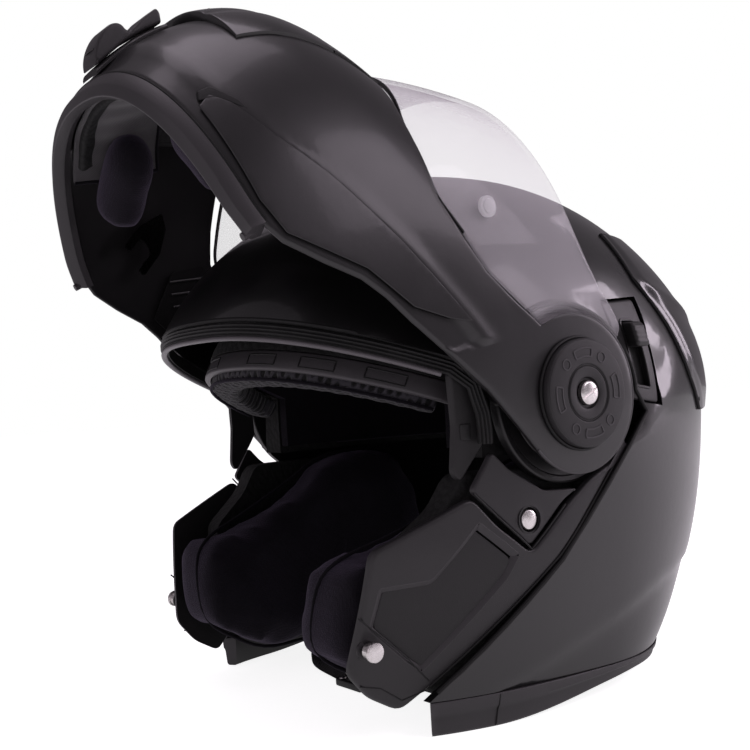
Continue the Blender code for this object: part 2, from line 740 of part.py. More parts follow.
def make_chin_trims(parent):
    def trim_low(y):
        return chin_edge_low(y) - 9.5

    def trim_high(y):
        return chin_edge_low(y) - GAP

    link("chin_edge_trim", chin_band(trim_low, trim_high, 0.8, 8.5, 37, 3, 63.5), SATIN, parent)

    def side_panel():
        outline = [
            (-147, 6), (-108, 36), (-44, 84), (-49, 66), (-68, 47), (-85, 19), (-100, 12), (-140, 1),
        ]
        return draped(outline, chin_x, -1.3, -GAP)

    def inner_arm():
        outline = [(-50, 104), (-62, 96), (-92, 84), (-90, 64), (-66, 50), (-50, 66)]
        return draped(outline, chin_x, 5.4, 6.3)

    both_sides("chin_side_panel", side_panel, SATIN, parent)
    both_sides("chin_inner_arm", inner_arm, BLACK, parent)


def make_chin_lining(parent):
    """Foam liner, fabric curtain and the two end pads inside the chin bar."""
    def liner_low(y):
        return chin_edge_low(y) + 3

    def liner_high(y):
        return chin_edge_high(y) - 10

    def curtain_high(y):
        return chin_edge_low(y) + 46

    link("chin_liner", chin_band(liner_low, liner_high, 5.4, 17, 13, 6, 33), FOAM, parent)
    link("chin_curtain", chin_band(liner_low, curtain_high, 18.4, 22.4, 13, 4, 31), TWILL, parent)

    def pad():
        route, sizes = [], []
        for step in range(7):
            y = -110 - 5 * step
            z = chin_edge_low(y) + 11.6 + 1.4 * step
            route.append((chin_x(y, z, 19.6 + 1.6 * step), y, z))
            sizes.append((6.0 if step in (0, 6) else 13.0, 6.0 if step in (0, 6) else 10.8))
        return tube(route, sizes, 10)

    both_sides("chin_pad", pad, KNIT, parent)


def crown_lift(angle, half_angle, lift):
    return GAP + lift * math.cos(0.5 * math.pi * angle / half_angle) ** 0.7


def front_cover(low_z, high_z, half_angle, lift):
    """A raised cover on the centre line of the chin bar's outer face."""
    outer_rows, inner_rows = [], []
    for row in range(5):
        z = low_z + (high_z - low_z) * row / 4
        outer, inner = [], []
        for step in range(13):
            turn = half_angle * (step - 6) / 6
            proud = crown_lift(turn, half_angle * 1.08, lift)
            for stack, inset in ((outer, -proud), (inner, -GAP)):
                x, y = ring_point(chin_section(z, inset), math.radians(turn), CHIN_POWER, CHIN_POWER)
                stack.append((x, y, z))
        outer_rows.append(outer)
        inner_rows.append(inner)
    return layered(outer_rows, inner_rows)


def make_front_vent(parent):
    link("chin_vent_cover", front_cover(34, 81.4, VENT_SPAN, 4.2), GLOSS, parent)
    link("chin_vent_slider", front_cover(82.0, 103.5, VENT_SPAN, 4.2), GLOSS, parent)


def lever_outline():
    """Side view of the release lever over the chin's front: a round thumb tab and a fin, (z, reach) points."""
    tab = [(0.5 - 9 * math.cos(a), 5.4 + 9.5 * math.sin(a)) for a in
           (math.radians(25 * step) for step in range(7))]
    return [(-8.5, LEVER_LIFT)] + tab + [(11, 6.4), (19, 9.4), (26, 11.0), (27.5, 8.4), (27.5, LEVER_LIFT)]


def make_release_lever(parent):
    """Black bar up the middle of the chin's front and the thumb lever hinged at its upper end."""
    link("lever_bar", front_cover(-9, 29, 3.2, 2.6), BLACK, parent)
    bm = bmesh.new()
    points = [(-LEVER_WIDTH, -chin_section(z)[1] - reach, z) for z, reach in lever_outline()]
    points += [(-LEVER_WIDTH, -chin_section(z)[1] - LEVER_LIFT, z) for z in (18, 8, 0)]
    face = bm.faces.new([bm.verts.new(point) for point in points])
    made = bmesh.ops.extrude_face_region(bm, geom=[face])
    raised = [item for item in made["geom"] if isinstance(item, bmesh.types.BMVert)]
    bmesh.ops.translate(bm, vec=(2 * LEVER_WIDTH, 0, 0), verts=raised)
    bmesh.ops.triangulate(bm, faces=[side for side in bm.faces if len(side.verts) > 4])
    link("release_lever", bm, GREY, parent, origin=LEVER_HINGE)


def make_latch_hooks(parent):
    """Forks that close over the latch pins on the jaw."""
    y, z = LATCH_PIN

    def hook():
        return draped([(y + a, z + b) for a, b in hook_points()], jaw_x, -3.8, -1.6, step=8)

    both_sides("latch_hook", hook, STEEL, parent, origin=(90, y - 20, z + 2))


def hook_points():
    """Side view of a latch hook about its pin: a fork open towards the rear and down."""
    mouth = 5.6
    along, across = (0.707, -0.707), (0.707, 0.707)

    def place(a, b):
        return (a * along[0] + b * across[0], a * along[1] + b * across[1])

    return [
        place(7, mouth), place(7, mouth + 4.5), place(-8, mouth + 4.5), place(-20, 4), place(-24, -4),
        place(-10, -mouth - 4.5), place(4, -mouth - 4.5), place(4, -mouth), place(-5, -mouth), place(-7, 0),
        place(-5, mouth),
    ]


def turned_ring(profile, segments=28):
    """A ring turned about the X axis from a closed loop of (x, radius) points."""
    rows = []
    for x, radius in profile:
        turns = [2 * math.pi * index / segments for index in range(segments)]
        rows.append([(x, radius * math.cos(a), radius * math.sin(a)) for a in turns])
    return grid(rows, closed_rows=True, closed_columns=True)


def make_pivot_covers(parent):
    face = CHIN_WIDTH + LAP + GAP

    def cover():
        rim = DISC_RADIUS
        profile = [(0, 5.6), (0, rim), (3.0, rim), (4.2, rim - 1.2), (4.2, 11.6), (2.0, 11.2), (2.0, 5.6)]
        return moved(turned_ring(profile), (face, 0, PIVOT_Z))

    def screw():
        bm = turned([(0, 0), (0, 3.0), (2.4, 3.0), (2.4, 5.2), (4.4, 5.2), (5.2, 4.2), (5.2, 0)], 16)
        return moved(bm, (face, 0, PIVOT_Z))

    both_sides("pivot_cover", cover, SATIN, parent)
    both_sides("pivot_screw", screw, STEEL, parent)


def visor_low(y):
    points = ((-30, 132), (-60, 107), (-94, 92.5), (-130, 95.5), (-160, 111), (-180, 116))
    return follow(points, y)


def visor_high(y):
    points = ((-44, 170), (-58, 167), (-71, 165.5), (-160, 165.5))
    return follow(points, y)


def visor_side_x(y, z, inset=0.0):
    """Visor face that steps inwards, under the chin bar's lobe, near the pivot."""
    radius = math.hypot(y, z - PIVOT_Z)
    share = min(1.0, max(0.0, (radius - 36.5) / 6.0))
    return visor_x(y, z, inset) - 4.3 * (1 - share * share * (3 - 2 * share))


def make_visor(parent):
    band = chin_band(visor_low, visor_high, 0, VISOR_WALL, 31, 5, 70, section=visor_section)
    visor = link("visor", band, CLEAR, parent)
    for side, letter in ((1, "l"), (-1, "r")):
        outline = arc((0, PIVOT_Z), 31, 60, -175, 16)
        outline += [(-37, 126.5), (-60, 106.7), (-72, 101.4), (-72, 165.5 + LAP), (-58, 167 + LAP), (-44, 170.5), (-27, 178)]
        cheek = draped(outline, visor_side_x, -LAP, VISOR_WALL + LAP, side, 10)
        boolean(visor, helper(link("visor_side_" + letter, cheek, CLEAR, parent)), "UNION")

    def lens_pin():
        place = (visor_x(-88, 115) + 1.9, -88, 115)
        return moved(turned([(0, 0), (0, 4.8), (1.5, 4.8), (2.4, 3.4), (2.4, 0)], 20), place)

    both_sides("lens_pin", lens_pin, CLEAR, parent)


def axis_empty(name, place, parent=None, turn=0.0):
    """An empty on a joint's axis, in millimetres, that carries the pieces of one moving body."""
    axis = bpy.data.objects.new(name, None)
    axis.location = Vector(place) * MM
    axis.rotation_euler = (turn, 0, 0)
    axis.parent = parent
    bpy.context.scene.collection.objects.link(axis)
    return axis


def make_chin_bar():
    chin = axis_empty("chin_bar_axis", (0, 0, PIVOT_Z), None, -OPEN_ANGLE)
    make_chin_shell(chin)
    make_chin_trims(chin)
    make_chin_lining(chin)
    make_front_vent(chin)
    make_release_lever(chin)
    make_latch_hooks(chin)
    make_pivot_covers(chin)
    make_visor(axis_empty("visor_axis", (0, 0, 0), chin))


def clear_scene():
    for obj in list(bpy.data.objects):
        bpy.data.objects.remove(obj)


def centre_on_origin():
    """Moves the whole model so that the middle of its bounding box lies over the origin."""
    for obj in bpy.data.objects:
        if not obj.parent:
            obj.location.y += BACK_SHIFT * MM


def build():
    clear_scene()
    make_shell()
    make_base_trim()
    make_jaw()
    make_fasteners()
    make_gasket()
    make_brow_trim()
    make_hinge_base()
    make_slider()
    make_spoiler()
    make_liners()
    make_pads()
    make_straps()
    make_sun_visor()
    make_chin_bar()
    centre_on_origin()


build()
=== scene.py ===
"""Modular motorcycle helmet with its chin bar raised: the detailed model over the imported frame.

Shapes are drawn in millimetres. Pieces of the chin bar and visor are drawn closed and turned up with it.
"""

import json
import math

import bmesh
import bpy
from mathutils import Matrix, Vector


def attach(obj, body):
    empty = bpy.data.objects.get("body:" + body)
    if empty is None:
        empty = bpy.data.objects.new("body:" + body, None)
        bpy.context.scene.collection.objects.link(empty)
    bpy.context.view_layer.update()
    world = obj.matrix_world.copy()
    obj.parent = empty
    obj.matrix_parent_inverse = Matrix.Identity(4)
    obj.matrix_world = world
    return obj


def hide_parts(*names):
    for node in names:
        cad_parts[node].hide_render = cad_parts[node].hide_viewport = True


MM = 0.001

# ---- frame --------------------------------------------------------------------------------------
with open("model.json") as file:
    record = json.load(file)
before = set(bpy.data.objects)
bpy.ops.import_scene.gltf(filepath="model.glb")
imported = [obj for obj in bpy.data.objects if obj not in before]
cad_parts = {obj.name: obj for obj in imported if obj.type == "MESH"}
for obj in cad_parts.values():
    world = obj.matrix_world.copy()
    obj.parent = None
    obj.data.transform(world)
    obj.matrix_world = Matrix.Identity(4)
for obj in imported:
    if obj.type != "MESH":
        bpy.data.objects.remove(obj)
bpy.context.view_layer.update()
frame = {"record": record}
JOINTS = {joint["name"]: joint for joint in frame["record"]["behaviour"]["joints"]}
PIVOT = Vector(JOINTS["chin_bar_hinge"]["pos_m"]) / MM
OPEN_ANGLE = math.radians(JOINTS["chin_bar_hinge"]["range_deg"][1])
REST = Matrix.Translation((0, PIVOT.y, 0))
CLOSED = Matrix.Translation(PIVOT) @ Matrix.Rotation(-OPEN_ANGLE, 4, "X") @ Matrix.Translation((0, 0,
    -PIVOT.z))

# ---- shape of the shells, in millimetres ----------------------------------------------------------
SHELL_WIDTH = 118.0
SHELL_CENTRE = (20.0, 140.0)
SHELL_FRONT = 160.0
SHELL_REAR = 150.0
SHELL_CROWN = 122.0
SHELL_WALL = 4.0
FRONT_POWER = 2.5
REAR_POWER = 2.2
TRIM_TOP = 15.0
ARCH_RISE = 9.0
ARCH_FROM = (-45.0, 50.0)
ARCH_TO = (78.0, 97.0)
BROW_FRONT = (-128.0, 186.0)
BROW_SLOPE = -0.36
BROW_DROP = 6.0
TEMPLE = (-47.0, 112.0)
EDGE_LINE = ((50.0, 132.0), (-10.0, 69.0), (-71.0, 19.0))
HINGE_Z = 143.0
CHIN_WIDTH = 121.5
CHIN_REACH = 197.0
CHIN_REACH_Z = 50.0
CHIN_POWER = 2.3
LOBE_RADIUS = 36.0
LATCH_PIN = (-102.0, 42.0)
CATCH = (-27.0, 89.0)
SUN_AXIS = (2.0, 118.0)
SUN_RADIUS = 127.0
SUN_WIDTH = 104.0
SUN_POWER = 2.2


def shell_section(z, inset=0.0):
    """Half width, front and rear reach and centre y of the shell's horizontal section at height z."""
    height = (z - SHELL_CENTRE[1]) / (SHELL_CROWN - inset)
    if height >= 0:
        scale = math.sqrt(max(0.0, 1 - height**2))
        sizes = [(size - inset) * scale for size in (SHELL_WIDTH, SHELL_FRONT, SHELL_REAR)]
        sizes[2] *= 1 - 0.1 * height
    else:
        depth = (SHELL_CENTRE[1] - z) / SHELL_CENTRE[1]
        sizes = [
            SHELL_WIDTH - 12 * depth**2 - inset,
            SHELL_FRONT - 8 * depth**2 - inset,
            SHELL_REAR * (1 - 0.1 * depth - 0.42 * depth**3.0) - inset,
        ]
    return (*sizes, SHELL_CENTRE[0])


def chin_section(z, inset=0.0):
    width = CHIN_WIDTH - 0.0008 * (HINGE_Z - z) ** 2
    bend = 0.0095 if z > CHIN_REACH_Z else 0.0068
    reach = CHIN_REACH - bend * (min(z, 112.0) - CHIN_REACH_Z) ** 2
    return (width - inset, reach - inset, reach - inset, 0.0)


def visor_section(z, inset=0.0):
    width = CHIN_WIDTH - 1.4 - 0.0008 * (HINGE_Z - z) ** 2
    reach = 170.0 - 0.12 * (z - 110) - 0.0019 * (z - 110) ** 2
    return (width - inset, reach - inset, reach - inset, 0.0)


def ring_point(section, angle, power_front, power_rear):
    """A point of a section; angle 0 is the front centre and 90 degrees the wearer's left."""
    width, front, rear, centre = section
    power = power_front if math.cos(angle) >= 0 else power_rear
    reach = front if math.cos(angle) >= 0 else rear
    x = width * math.copysign(abs(math.sin(angle)) ** (2 / power), math.sin(angle))
    y = centre - reach * math.copysign(abs(math.cos(angle)) ** (2 / power), math.cos(angle))
    return x, y


def side_x(section, y, power_front, power_rear):
    width, front, rear, centre = section
    reach, power = (front, power_front) if y < centre else (rear, power_rear)
    share = min(0.9999, abs(y - centre) / reach)
    return width * (1 - share**power) ** (1 / power)


def shell_x(y, z, inset=0.0):
    return side_x(shell_section(z, inset), y, FRONT_POWER, REAR_POWER)


def chin_x(y, z, inset=0.0):
    return side_x(chin_section(z, inset), y, CHIN_POWER, CHIN_POWER)


def visor_x(y, z, inset=0.0):
    return side_x(visor_section(z, inset), y, CHIN_POWER, CHIN_POWER)


def jaw_x(y, z, inset=0.0):
    """Outer face of the jaw's side plates."""
    ahead = max(0.0, SHELL_CENTRE[0] - y) / 121
    below = max(0.0, 83 - z) / 83
    return 115.2 - 20 * ahead**2.2 - 20 * below**1.5 - inset


def brow_z(y):
    return BROW_FRONT[1] + BROW_SLOPE * (y - BROW_FRONT[0])


def chin_angle(y, z, section=chin_section):
    """The ring angle, left side, of the chin surface's point at (y, z)."""
    reach = section(z)[1]
    share = max(-0.9999, min(0.9999, -y / reach))
    return math.acos(math.copysign(abs(share) ** (CHIN_POWER / 2), share))


# ---- small tools ----------------------------------------------------------------------------------
def smooth(value):
    value = min(1.0, max(0.0, value))
    return value * value * (3 - 2 * value)


def follow(points, y):
    """Straight-line reading of (y, z) points that run forward, towards -Y."""
    if y >= points[0][0]:
        return points[0][1]
    for (y0, z0), (y1, z1) in zip(points, points[1:]):
        if y >= y1:
            return z0 + (z1 - z0) * (y - y0) / (y1 - y0)
    return points[-1][1]


def eased(points, y, reach=7.0):
    """The same reading with its corners rounded off over `reach` either way."""
    steps = (-1.0, -0.6, -0.2, 0.2, 0.6, 1.0)
    return sum(follow(points, y + reach * step) for step in steps) / len(steps)


def inside_depth(polygon, y, z):
    """Distance to a closed outline, positive inside."""
    inside = False
    nearest = 1e9
    for (y0, z0), (y1, z1) in zip(polygon, polygon[1:] + polygon[:1]):
        if (z0 > z) != (z1 > z) and y < (y1 - y0) * (z - z0) / (z1 - z0) + y0:
            inside = not inside
        dy, dz = y1 - y0, z1 - z0
        share = max(0.0, min(1.0, ((y - y0) * dy + (z - z0) * dz) / (dy * dy + dz * dz)))
        nearest = min(nearest, math.hypot(y - y0 - share * dy, z - z0 - share * dz))
    return nearest if inside else -nearest


def arc(centre, radius, start, end, count):
    turns = [math.radians(start + (end - start) * index / (count - 1)) for index in range(count)]
    return [(centre[0] + radius * math.cos(a), centre[1] + radius * math.sin(a)) for a in turns]


def rounded(points, radius, spacing=2.5):
    """A closed outline with soft corners and its points no further apart than spacing."""
    corners = []
    count = len(points)
    for index in range(count):
        before, here, after = (Vector(points[(index + k) % count]) for k in (-1, 0, 1))
        back = (before - here).normalized() * min(radius, 0.45 * (before - here).length)
        ahead = (after - here).normalized() * min(radius, 0.45 * (after - here).length)
        for share in (0.0, 0.25, 0.5, 0.75, 1.0):
            corners.append(here + back * (1 - share) ** 2 + ahead * share**2)
    outline = []
    for here, after in zip(corners, corners[1:] + corners[:1]):
        parts = max(1, int((after - here).length / spacing + 0.5))
        outline += [tuple(here.lerp(after, part / parts)) for part in range(parts)]
    return outline


def shrunk(outline, distance):
    """A closed outline moved inwards by distance."""
    area = sum(a[0] * b[1] - b[0] * a[1] for a, b in zip(outline, outline[1:] + outline[:1]))
    sign = 1 if area > 0 else -1
    moved = []
    for index, here in enumerate(outline):
        before, after = Vector(outline[index - 1]), Vector(outline[(index + 1) % len(outline)])
        here = Vector(here)
        first, second = (here - before).normalized(), (after - here).normalized()
        normal = Vector((-first.y - second.y, first.x + second.x)) * sign
        size = normal.length
        if size < 1e-6:
            moved.append(tuple(here))
            continue
        moved.append(tuple(here + normal / size * distance * min(1.6, 2 / size)))
    return moved


def grid(rows, closed_rows=False, closed_columns=False):
    """A skin of quads over rows of points."""
    bm = bmesh.new()
    verts = [[bm.verts.new(point) for point in row] for row in rows]
    across = len(verts[0]) if closed_rows else len(verts[0]) - 1
    down = len(verts) if closed_columns else len(verts) - 1
    for i in range(down):
        for j in range(across):
            j2, i2 = (j + 1) % len(verts[0]), (i + 1) % len(verts)
            bm.faces.new([verts[i][j], verts[i][j2], verts[i2][j2], verts[i2][j]])
    return bm


def loft(loops):
    """A solid skin over closed loops of points, with flat ends."""
    bm = grid(loops, closed_rows=True)
    bm.verts.ensure_lookup_table()
    count = len(loops[0])
    bm.faces.new([bm.verts[i] for i in range(count)][::-1])
    bm.faces.new([bm.verts[len(bm.verts) - count + i] for i in range(count)])
    return bm


def strip_loop(point, length, outer, inner, rows, radius):
    """A closed loop through a plate's section: point(share, inset) outwards up and inwards down again."""
    radius = min(radius, 0.45 * (inner - outer), 0.3 * length)
    soft = [(0.0, 1.0), (0.1, 0.55), (0.35, 0.22), (0.7, 0.05), (1.1, 0.0)]
    edge = [(distance * radius / length, sink * radius) for distance, sink in soft]
    start = edge[-1][0]
    shares = edge + [(start + (1 - 2 * start) * row / rows, 0.0) for row in range(1, rows)]
    shares += [(1 - share, sink) for share, sink in reversed(edge)]
    loop = [point(share, outer + sink, True) for share, sink in shares]
    return loop + [point(share, inner - sink, False) for share, sink in reversed(shares)]


def tube(route, sizes, sides=14, ups=None):
    """A bar along `route`: an oval section with half sizes (across, along up) at each point."""
    loops = []
    points = [Vector(point) for point in route]
    for index, point in enumerate(points):
        ahead = points[min(index + 1, len(points) - 1)] - points[max(index - 1, 0)]
        across = ahead.cross(Vector(ups[index] if ups else (0, 0, 1))).normalized()
        lift = across.cross(ahead).normalized()
        wide, high = sizes[index] if isinstance(sizes, list) else sizes
        turns = [2 * math.pi * step / sides for step in range(sides)]
        loops.append([point + across * wide * math.cos(a) + lift * high * math.sin(a) for a in turns])
    return loft(loops)


def sweep(route, profile, ups, closed=False):
    """A closed profile of (across, lift) points carried along a route; lift points along ups."""
    loops = []
    points = [Vector(point) for point in route]
    count = len(points)
    for index, point in enumerate(points):
        if closed:
            ahead = points[(index + 1) % count] - points[index - 1]
        else:
            ahead = points[min(index + 1, count - 1)] - points[max(index - 1, 0)]
        across = ahead.cross(Vector(ups[index])).normalized()
        lift = across.cross(ahead).normalized()
        loops.append([point + across * a + lift * b for a, b in profile])
    return grid(loops, True, True) if closed else loft(loops)


def turned(profile, place, segments=64, side=1):
    """A solid turned about the X axis from (x, radius) points and moved to place."""
    loops = []
    for x, radius in profile:
        turns = [2 * math.pi * index / segments for index in range(segments)]
        reach = max(radius, 0.02)
        loops.append([(x, reach * math.cos(a), reach * math.sin(a)) for a in turns])
    bm = loft(loops)
    shift(bm, place)
    return flipped(bm) if side < 0 else bm


def shift(bm, place):
    bmesh.ops.translate(bm, verts=bm.verts, vec=Vector(place))
    return bm


def flipped(bm):
    bmesh.ops.transform(bm, matrix=Matrix.Scale(-1, 4, (1, 0, 0)), verts=bm.verts)
    bmesh.ops.reverse_faces(bm, faces=bm.faces)
    return bm


def joined(*parts):
    """One bmesh from several."""
    bm = bmesh.new()
    for part in parts:
        mesh = bpy.data.meshes.new("part")
        part.to_mesh(mesh)
        part.free()
        bm.from_mesh(mesh)
        bpy.data.meshes.remove(mesh)
    return bm


def rounded_box(size, radius, place, turn=None):
    bm = bmesh.new()
    bmesh.ops.create_cube(bm, size=1)
    bmesh.ops.scale(bm, vec=size, verts=bm.verts)
    bmesh.ops.bevel(bm, geom=bm.edges[:], offset=radius, segments=4, affect="EDGES", profile=0.6)
    if turn:
        bmesh.ops.transform(bm, matrix=turn, verts=bm.verts)
    return shift(bm, place)


def draped(outline, surface, outer, inner, side=1, step=3.0, radius=0.8, corner=1.5, relief=None):
    """A plate on surface(y, z, inset) inside a side-view outline, with its outer edge rounded over."""
    edge = rounded(outline, corner)
    flat = bmesh.new()
    layer = flat.verts.layers.float.new("sink")
    rings = []
    for distance, sink in ((0.0, 1.0), (0.12, 0.55), (0.4, 0.2), (0.8, 0.04), (1.2, 0.0)):
        ring = []
        for y, z in shrunk(edge, distance * radius):
            vert = flat.verts.new((0, y, z))
            vert[layer] = sink * radius
            ring.append(vert)
        rings.append(ring)
    for first, second in zip(rings, rings[1:]):
        for i in range(len(first)):
            j = (i + 1) % len(first)
            flat.faces.new([first[i], first[j], second[j], second[i]])
    flat.faces.new(rings[-1])
    for axis in (1, 2):
        normal = [0, 0, 0]
        normal[axis] = 1
        values = [point[axis - 1] for point in edge]
        count = int((max(values) - min(values)) // step)
        for index in range(1, count + 1):
            place = [0, 0, 0]
            place[axis] = min(values) + index * (max(values) - min(values)) / (count + 1)
            geometry = flat.verts[:] + flat.edges[:] + flat.faces[:]
            bmesh.ops.bisect_plane(flat, geom=geometry, plane_co=place, plane_no=normal, dist=0.01)
    bmesh.ops.triangulate(flat, faces=[face for face in flat.faces if len(face.verts) > 4])
    bm = bmesh.new()
    tops, bottoms = [], []
    for vert in flat.verts:
        y, z = vert.co.y, vert.co.z
        sink = vert[layer] + (relief(y, z) if relief else 0.0)
        tops.append(bm.verts.new((side * surface(y, z, outer + sink), y, z)))
        bottoms.append(bm.verts.new((side * surface(y, z, inner), y, z)))
    flat.verts.index_update()
    for face in flat.faces:
        indices = [vert.index for vert in face.verts]
        bm.faces.new([tops[i] for i in indices])
        bm.faces.new([bottoms[i] for i in reversed(indices)])
    for line in flat.edges:
        if len(line.link_faces) == 1:
            i, j = (vert.index for vert in line.verts)
            bm.faces.new([tops[i], tops[j], bottoms[j], bottoms[i]])
    flat.free()
    return bm


def ring_band(outline, surface, profile, side=1, corner=1.5):
    """A closed band along an outline; profile is a loop of (distance inwards, inset) points."""
    edge = rounded(outline, corner)
    columns = []
    for distance, inset in profile:
        columns.append([(side * surface(y, z, inset), y, z) for y, z in shrunk(edge, distance)])
    rows = [[column[i] for column in columns] for i in range(len(edge))]
    return grid(rows, True, True)


def prism(outline, low_x, high_x):
    return loft([[(x, y, z) for y, z in outline] for x in (low_x, high_x)])


def carve(bm, *cutters):
    """The bmesh with every cutter taken away."""
    made = []
    for part in (bm, *cutters):
        bmesh.ops.recalc_face_normals(part, faces=part.faces)
        mesh = bpy.data.meshes.new("carve")
        part.to_mesh(mesh)
        part.free()
        made.append(bpy.data.objects.new("carve", mesh))
        bpy.context.scene.collection.objects.link(made[-1])
    for cutter in made[1:]:
        modifier = made[0].modifiers.new("cut", "BOOLEAN")
        modifier.object = cutter
        modifier.solver = "EXACT"
    graph = bpy.context.evaluated_depsgraph_get()
    result = bmesh.new()
    result.from_object(made[0], graph)
    for obj in made:
        mesh = obj.data
        bpy.data.objects.remove(obj)
        bpy.data.meshes.remove(mesh)
    return result


def link(name, bm, look, body, nodes=(), closed=False, sharp=35.0, finish=True):
    """Turns a bmesh in millimetres into a smooth-shaded piece that rides on a body."""
    place = CLOSED if closed else REST
    bmesh.ops.remove_doubles(bm, verts=bm.verts, dist=0.003)
    bmesh.ops.recalc_face_normals(bm, faces=bm.faces)
    bmesh.ops.transform(bm, matrix=Matrix.Scale(MM, 4) @ place, verts=bm.verts)
    mesh = bpy.data.meshes.new(name)
    bm.to_mesh(mesh)
    bm.free()
    mesh.shade_smooth()
    mesh.set_sharp_from_angle(angle=math.radians(sharp))
    mesh.materials.append(look)
    obj = bpy.data.objects.new(name, mesh)
    bpy.context.scene.collection.objects.link(obj)
    if finish:
        belong(obj, body, nodes)
    return obj


def belong(obj, body, nodes=()):
    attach(obj, body)
    if nodes:
        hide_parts(*nodes)
    return obj


def pair(name, build, look, body, node=None, closed=False, sharp=35.0):
    """A piece on the left and its mirror image on the right."""
    for side, letter in ((1, "l"), (-1, "r")):
        bm = build()
        if side < 0:
            flipped(bm)
        nodes = (f"{node}_{letter}",) if node else ()
        link(f"{name}_{letter}", bm, look, body, nodes, closed, sharp)


# ---- materials ------------------------------------------------------------------------------------
class Shader:
    """A small helper that builds one material's node tree."""

    def __init__(self, name):
        self.material = bpy.data.materials.new(name)
        self.material.use_nodes = True
        self.tree = self.material.node_tree
        self.base = self.tree.nodes["Principled BSDF"]
        coordinates = self.tree.nodes.new("ShaderNodeTexCoord")
        self.place = coordinates.outputs["Object"]

    def node(self, kind, **inputs):
        made = self.tree.nodes.new("ShaderNode" + kind)
        for key, value in inputs.items():
            self.put(made, key.replace("_", " "), value)
        return made

    def put(self, node, key, value):
        socket = node.inputs[int(key[1:])] if key[0] == "i" and key[1:].isdigit() else node.inputs[key]
        if isinstance(value, bpy.types.NodeSocket):
            self.tree.links.new(value, socket)
        else:
            socket.default_value = value

    def math(self, operation, first, second=0.0, third=None):
        made = self.tree.nodes.new("ShaderNodeMath")
        made.operation = operation
        for index, value in enumerate((first, second) if third is None else (first, second, third)):
            self.put(made, f"i{index}", value)
        return made.outputs[0]

    def noise(self, scale, detail=3.0, rough=0.5, place=None):
        made = self.node("TexNoise", Scale=scale, Detail=detail, Roughness=rough,
            Vector=place or self.place)
        return made.outputs[0]

    def voronoi(self, scale, randomness=1.0, feature="F1"):
        made = self.node("TexVoronoi", Vector=self.place, Scale=scale, Randomness=randomness)
        made.feature = feature
        return made.outputs["Distance"]

    def span(self, value, low, high, to_low, to_high):
        made = self.tree.nodes.new("ShaderNodeMapRange")
        for index, item in enumerate((value, low, high, to_low, to_high)):
            self.put(made, f"i{index}", item)
        return made.outputs[0]

    def mix(self, share, first, second):
        made = self.tree.nodes.new("ShaderNodeMix")
        made.data_type = "RGBA"
        self.put(made, "i0", share)
        self.put(made, "i6", (*first, 1) if isinstance(first, tuple) else first)
        self.put(made, "i7", (*second, 1) if isinstance(second, tuple) else second)
        return made.outputs[2]

    def bump(self, height, distance, strength=1.0):
        made = self.node("Bump", Strength=strength, Distance=distance, Height=height)
        if self.base.inputs["Normal"].links:
            self.put(made, "Normal", self.base.inputs["Normal"].links[0].from_socket)
        self.put(self.base, "Normal", made.outputs[0])
        return made.outputs[0]

    def wear_and_highlight(self, colour, light, low=0.5, high=0.56):
        """The colour, lightened on outward edges: a painted highlight."""
        geometry = self.tree.nodes.new("ShaderNodeNewGeometry")
        share = self.span(geometry.outputs["Pointiness"], low, high, 0.0, 1.0)
        return self.mix(share, colour, light)

    def set(self, **inputs):
        for key, value in inputs.items():
            self.put(self.base, key.replace("_", " "), value)
        return self

    def split(self):
        made = self.node("SeparateXYZ", Vector=self.place)
        return made.outputs


def grey(level, tint=(1.0, 1.0, 1.0)):
    return tuple(level * part for part in tint)


WARM = (1.0, 0.93, 1.0)


def lacquer(name, level, rough, coat_rough, coat=0.5, peel=0.00002):
    """Deep paint under clear lacquer, with fine orange peel and faint handling haze."""
    shader = Shader(name)
    cloud = shader.noise(22.0, 4.0, 0.6)
    fleck = shader.noise(2600.0, 2.0)
    colour = shader.mix(shader.span(fleck, 0.35, 0.7, 0.0, 1.0), grey(level, WARM), grey(level * 1.35,
        WARM))
    shader.set(Base_Color=colour, Roughness=shader.span(cloud, 0.3, 0.75, rough - 0.03, rough + 0.05))
    shader.set(Coat_Weight=coat, Coat_Roughness=coat_rough)
    shader.bump(shader.noise(330.0, 2.0), peel)
    shader.bump(fleck, peel * 0.3)
    shader.put(shader.base, "Coat Normal", shader.bump(shader.noise(180.0, 1.0), peel * 1.5))
    return shader.material


def satin(name, level, rough, light=2.0, grain=0.00003):
    """Moulded plastic with a fine grain; its outward edges are painted a little lighter: a painted
    highlight.
    """
    shader = Shader(name)
    fine = shader.noise(3200.0, 3.0)
    cloud = shader.noise(35.0, 4.0, 0.6)
    colour = shader.mix(shader.span(cloud, 0.3, 0.7, 0.0, 1.0), grey(level, WARM), grey(level * 1.22, WARM))
    # painted highlight: outward edges are lightened by pointiness to `light` times the level
    colour = shader.wear_and_highlight(colour, grey(level * light, WARM))
    shader.set(Base_Color=colour, Roughness=shader.span(fine, 0.3, 0.7, rough - 0.05, rough + 0.08))
    shader.set(Specular_IOR_Level=0.45)
    shader.bump(shader.voronoi(2600.0), grain)
    shader.bump(fine, grain)
    return shader.material


def rubber(name, level):
    shader = Shader(name)
    fine = shader.noise(1500.0, 5.0, 0.65)
    dust = shader.noise(70.0, 4.0, 0.7)
    colour = shader.mix(shader.span(dust, 0.45, 0.8, 0.0, 1.0), grey(level), grey(level * 1.9))
    shader.set(Base_Color=colour, Roughness=shader.span(fine, 0.3, 0.7, 0.5, 0.68), Specular_IOR_Level=0.4)
    shader.bump(fine, 0.00005)
    return shader.material


